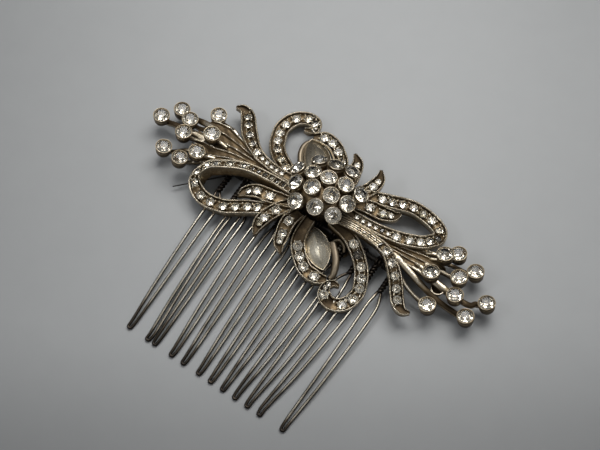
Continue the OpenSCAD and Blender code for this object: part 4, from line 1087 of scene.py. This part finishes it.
b = Build()
tube(b, helix(-20.7, -22.9, 5.6, 0.95), 0.19, 10, 0.85)
tube(b, resample(curve(TAIL, 14), 0.3), 0.17, 10, 0.8)
b.make("v_binding_left", [BLACK], ["binding_left"], "dark_wire")
b = Build()
tube(b, helix(20.7, 22.9, 5.6, 0.95), 0.19, 10, 0.85)
b.make("v_binding_right", [BLACK], ["binding_right"], "dark_wire")

# ---------------------------------------------------------------- table, light, camera
G_RIGHT = np.array([0.8290, 0.5592])  # image right on the table, in the row frame
G_UP = np.array([-0.5592, 0.8290])  # image up on the table
AIM = np.array([-2.4 + OX, -5.2 + OY]) * 0.001

me = bpy.data.meshes.new("table_top")
N = 24
xs = np.linspace(-2.4, 2.4, N + 1)
X, Y = np.meshgrid(xs, xs, indexing="ij")
V = np.stack([X, Y, 0 * X - 0.00002], 2).reshape(-1, 3)
me.from_pydata(V.tolist(), [], grid_faces(N + 1, N + 1, wrap=False)[:, ::-1].tolist())
floor = bpy.data.objects.new("table_top", me)
bpy.context.scene.collection.objects.link(floor)
m, nt, bsdf = new_mat("pale_table")
co = node(nt, "ShaderNodeTexCoord").outputs["Object"]
n1 = noise(nt, co, 9, 4)
n2 = noise(nt, co, 140, 5, 0.6)
k = math_node(nt, "ADD", math_node(nt, "MULTIPLY", n1, 0.6), math_node(nt, "MULTIPLY", n2, 0.4))
pale = ramp(nt, k, [(0.3, (0.368, 0.38, 0.39)), (0.7, (0.392, 0.404, 0.414))])
# painted shade: the table's colour is scaled down away from the aim point, towards the bottom and both sides of the
# view, as a falloff of light
painted_falloff = None
for axis, a0, a1, low in (((-0.5592, 0.8290, 0), -0.022, -0.065, 0.66), ((0.8290, 0.5592, 0), 0.02, 0.085, 0.88), ((0.8290, 0.5592, 0), -0.01, -0.095, 0.88)):
    dot = node(nt, "ShaderNodeVectorMath", operation="DOT_PRODUCT")
    nt.links.new(co, dot.inputs[0])
    dot.inputs[1].default_value = axis
    off = float(np.dot(AIM, axis[:2]))
    mr = node(nt, "ShaderNodeMapRange", interpolation_type="SMOOTHSTEP")
    for kk, vv in zip(("From Min", "From Max", "To Min", "To Max"), (off + a0, off + a1, 1.0, low)):
        mr.inputs[kk].default_value = vv
    nt.links.new(dot.outputs["Value"], mr.inputs["Value"])
    painted_falloff = mr.outputs["Result"] if painted_falloff is None else math_node(nt, "MULTIPLY", painted_falloff, mr.outputs["Result"])
sc = node(nt, "ShaderNodeVectorMath", operation="SCALE")
nt.links.new(pale, sc.inputs[0])
nt.links.new(painted_falloff, sc.inputs["Scale"])
nt.links.new(sc.outputs[0], bsdf.inputs["Base Color"])
bsdf.inputs["Roughness"].default_value = 0.55
bsdf.inputs["Specular IOR Level"].default_value = 0.3
me.materials.append(m)
if me.polygons[0].normal.z < 0:
    me.flip_normals()


def light(name, right, up, z, size, power, colour=(1, 1, 1), target=(0, 0.01, 0.004), spread=180):
    d = bpy.data.lights.new(name, "AREA")
    d.shape = "RECTANGLE"
    d.size, d.size_y = size
    d.energy = power
    d.spread = math.radians(spread)
    d.color = colour
    o = bpy.data.objects.new(name, d)
    bpy.context.scene.collection.objects.link(o)
    p = AIM + G_RIGHT * right + G_UP * up
    o.location = (p[0], p[1], z)
    v = np.array(target) - np.array(o.location)
    from mathutils import Vector
    o.rotation_euler = Vector(v).to_track_quat("-Z", "Y").to_euler()
    return o


light("window", 0.045, 0.15, 0.26, (0.25, 0.19), 0.162, (1.0, 0.985, 0.955), target=(0, 0.038, 0.0), spread=74)
light("fill_left", -0.174, 0.158, 0.385, (0.09, 0.09), 0.035, (0.98, 0.99, 1.0))
light("fill_right", 0.20, -0.092, 0.385, (0.09, 0.09), 0.05, (1.0, 0.99, 0.97))
light("glint_left", -0.30, -0.05, 0.40, (0.09, 0.09), 0.26, (0.98, 0.99, 1.0))
light("glint_right", 0.28, 0.20, 0.40, (0.09, 0.09), 0.26, (1.0, 0.99, 0.97))

w = bpy.data.worlds.new("soft_room")
bpy.context.scene.world = w
w.use_nodes = True
nt = w.node_tree
bg = nt.nodes["Background"]
tc = nt.nodes.new("ShaderNodeTexCoord")
sp = nt.nodes.new("ShaderNodeSeparateXYZ")
nt.links.new(tc.outputs["Generated"], sp.inputs[0])
rp = nt.nodes.new("ShaderNodeValToRGB")
e = rp.color_ramp.elements
e[0].position, e[0].color = 0.0, (0.075, 0.075, 0.075, 1)
e[1].position, e[1].color = 1.0, (0.42, 0.425, 0.43, 1)
for pos, c in ((0.4, 0.11), (0.7, 0.36), (0.86, 0.66)):
    x = e.new(pos)
    x.color = (c, c, c, 1)
nt.links.new(sp.outputs["Z"], rp.inputs["Fac"])
nt.links.new(rp.outputs["Color"], bg.inputs["Color"])
bg.inputs["Strength"].default_value = 0.49

D, EL = 0.280, math.radians(68)
cam_d = bpy.data.cameras.new("camera")
cam_d.sensor_width = 36
cam_d.lens = 67.2
cam_d.clip_start = 0.01
cam = bpy.data.objects.new("camera", cam_d)
bpy.context.scene.collection.objects.link(cam)
back = -G_UP * D * math.cos(EL)
pos = np.array([AIM[0] + back[0], AIM[1] + back[1], D * math.sin(EL)])
fw = np.array([AIM[0], AIM[1], 0]) - pos
fw /= np.linalg.norm(fw)
rt = np.array([G_RIGHT[0], G_RIGHT[1], 0])
rt /= np.linalg.norm(rt)
up = np.cross(rt, fw)
from mathutils import Matrix

cam.matrix_world = Matrix([[rt[0], up[0], -fw[0], pos[0]], [rt[1], up[1], -fw[1], pos[1]], [rt[2], up[2], -fw[2], pos[2]], [0, 0, 0, 1]])
bpy.context.scene.camera = cam
bpy.context.scene.view_settings.view_transform = "Standard"
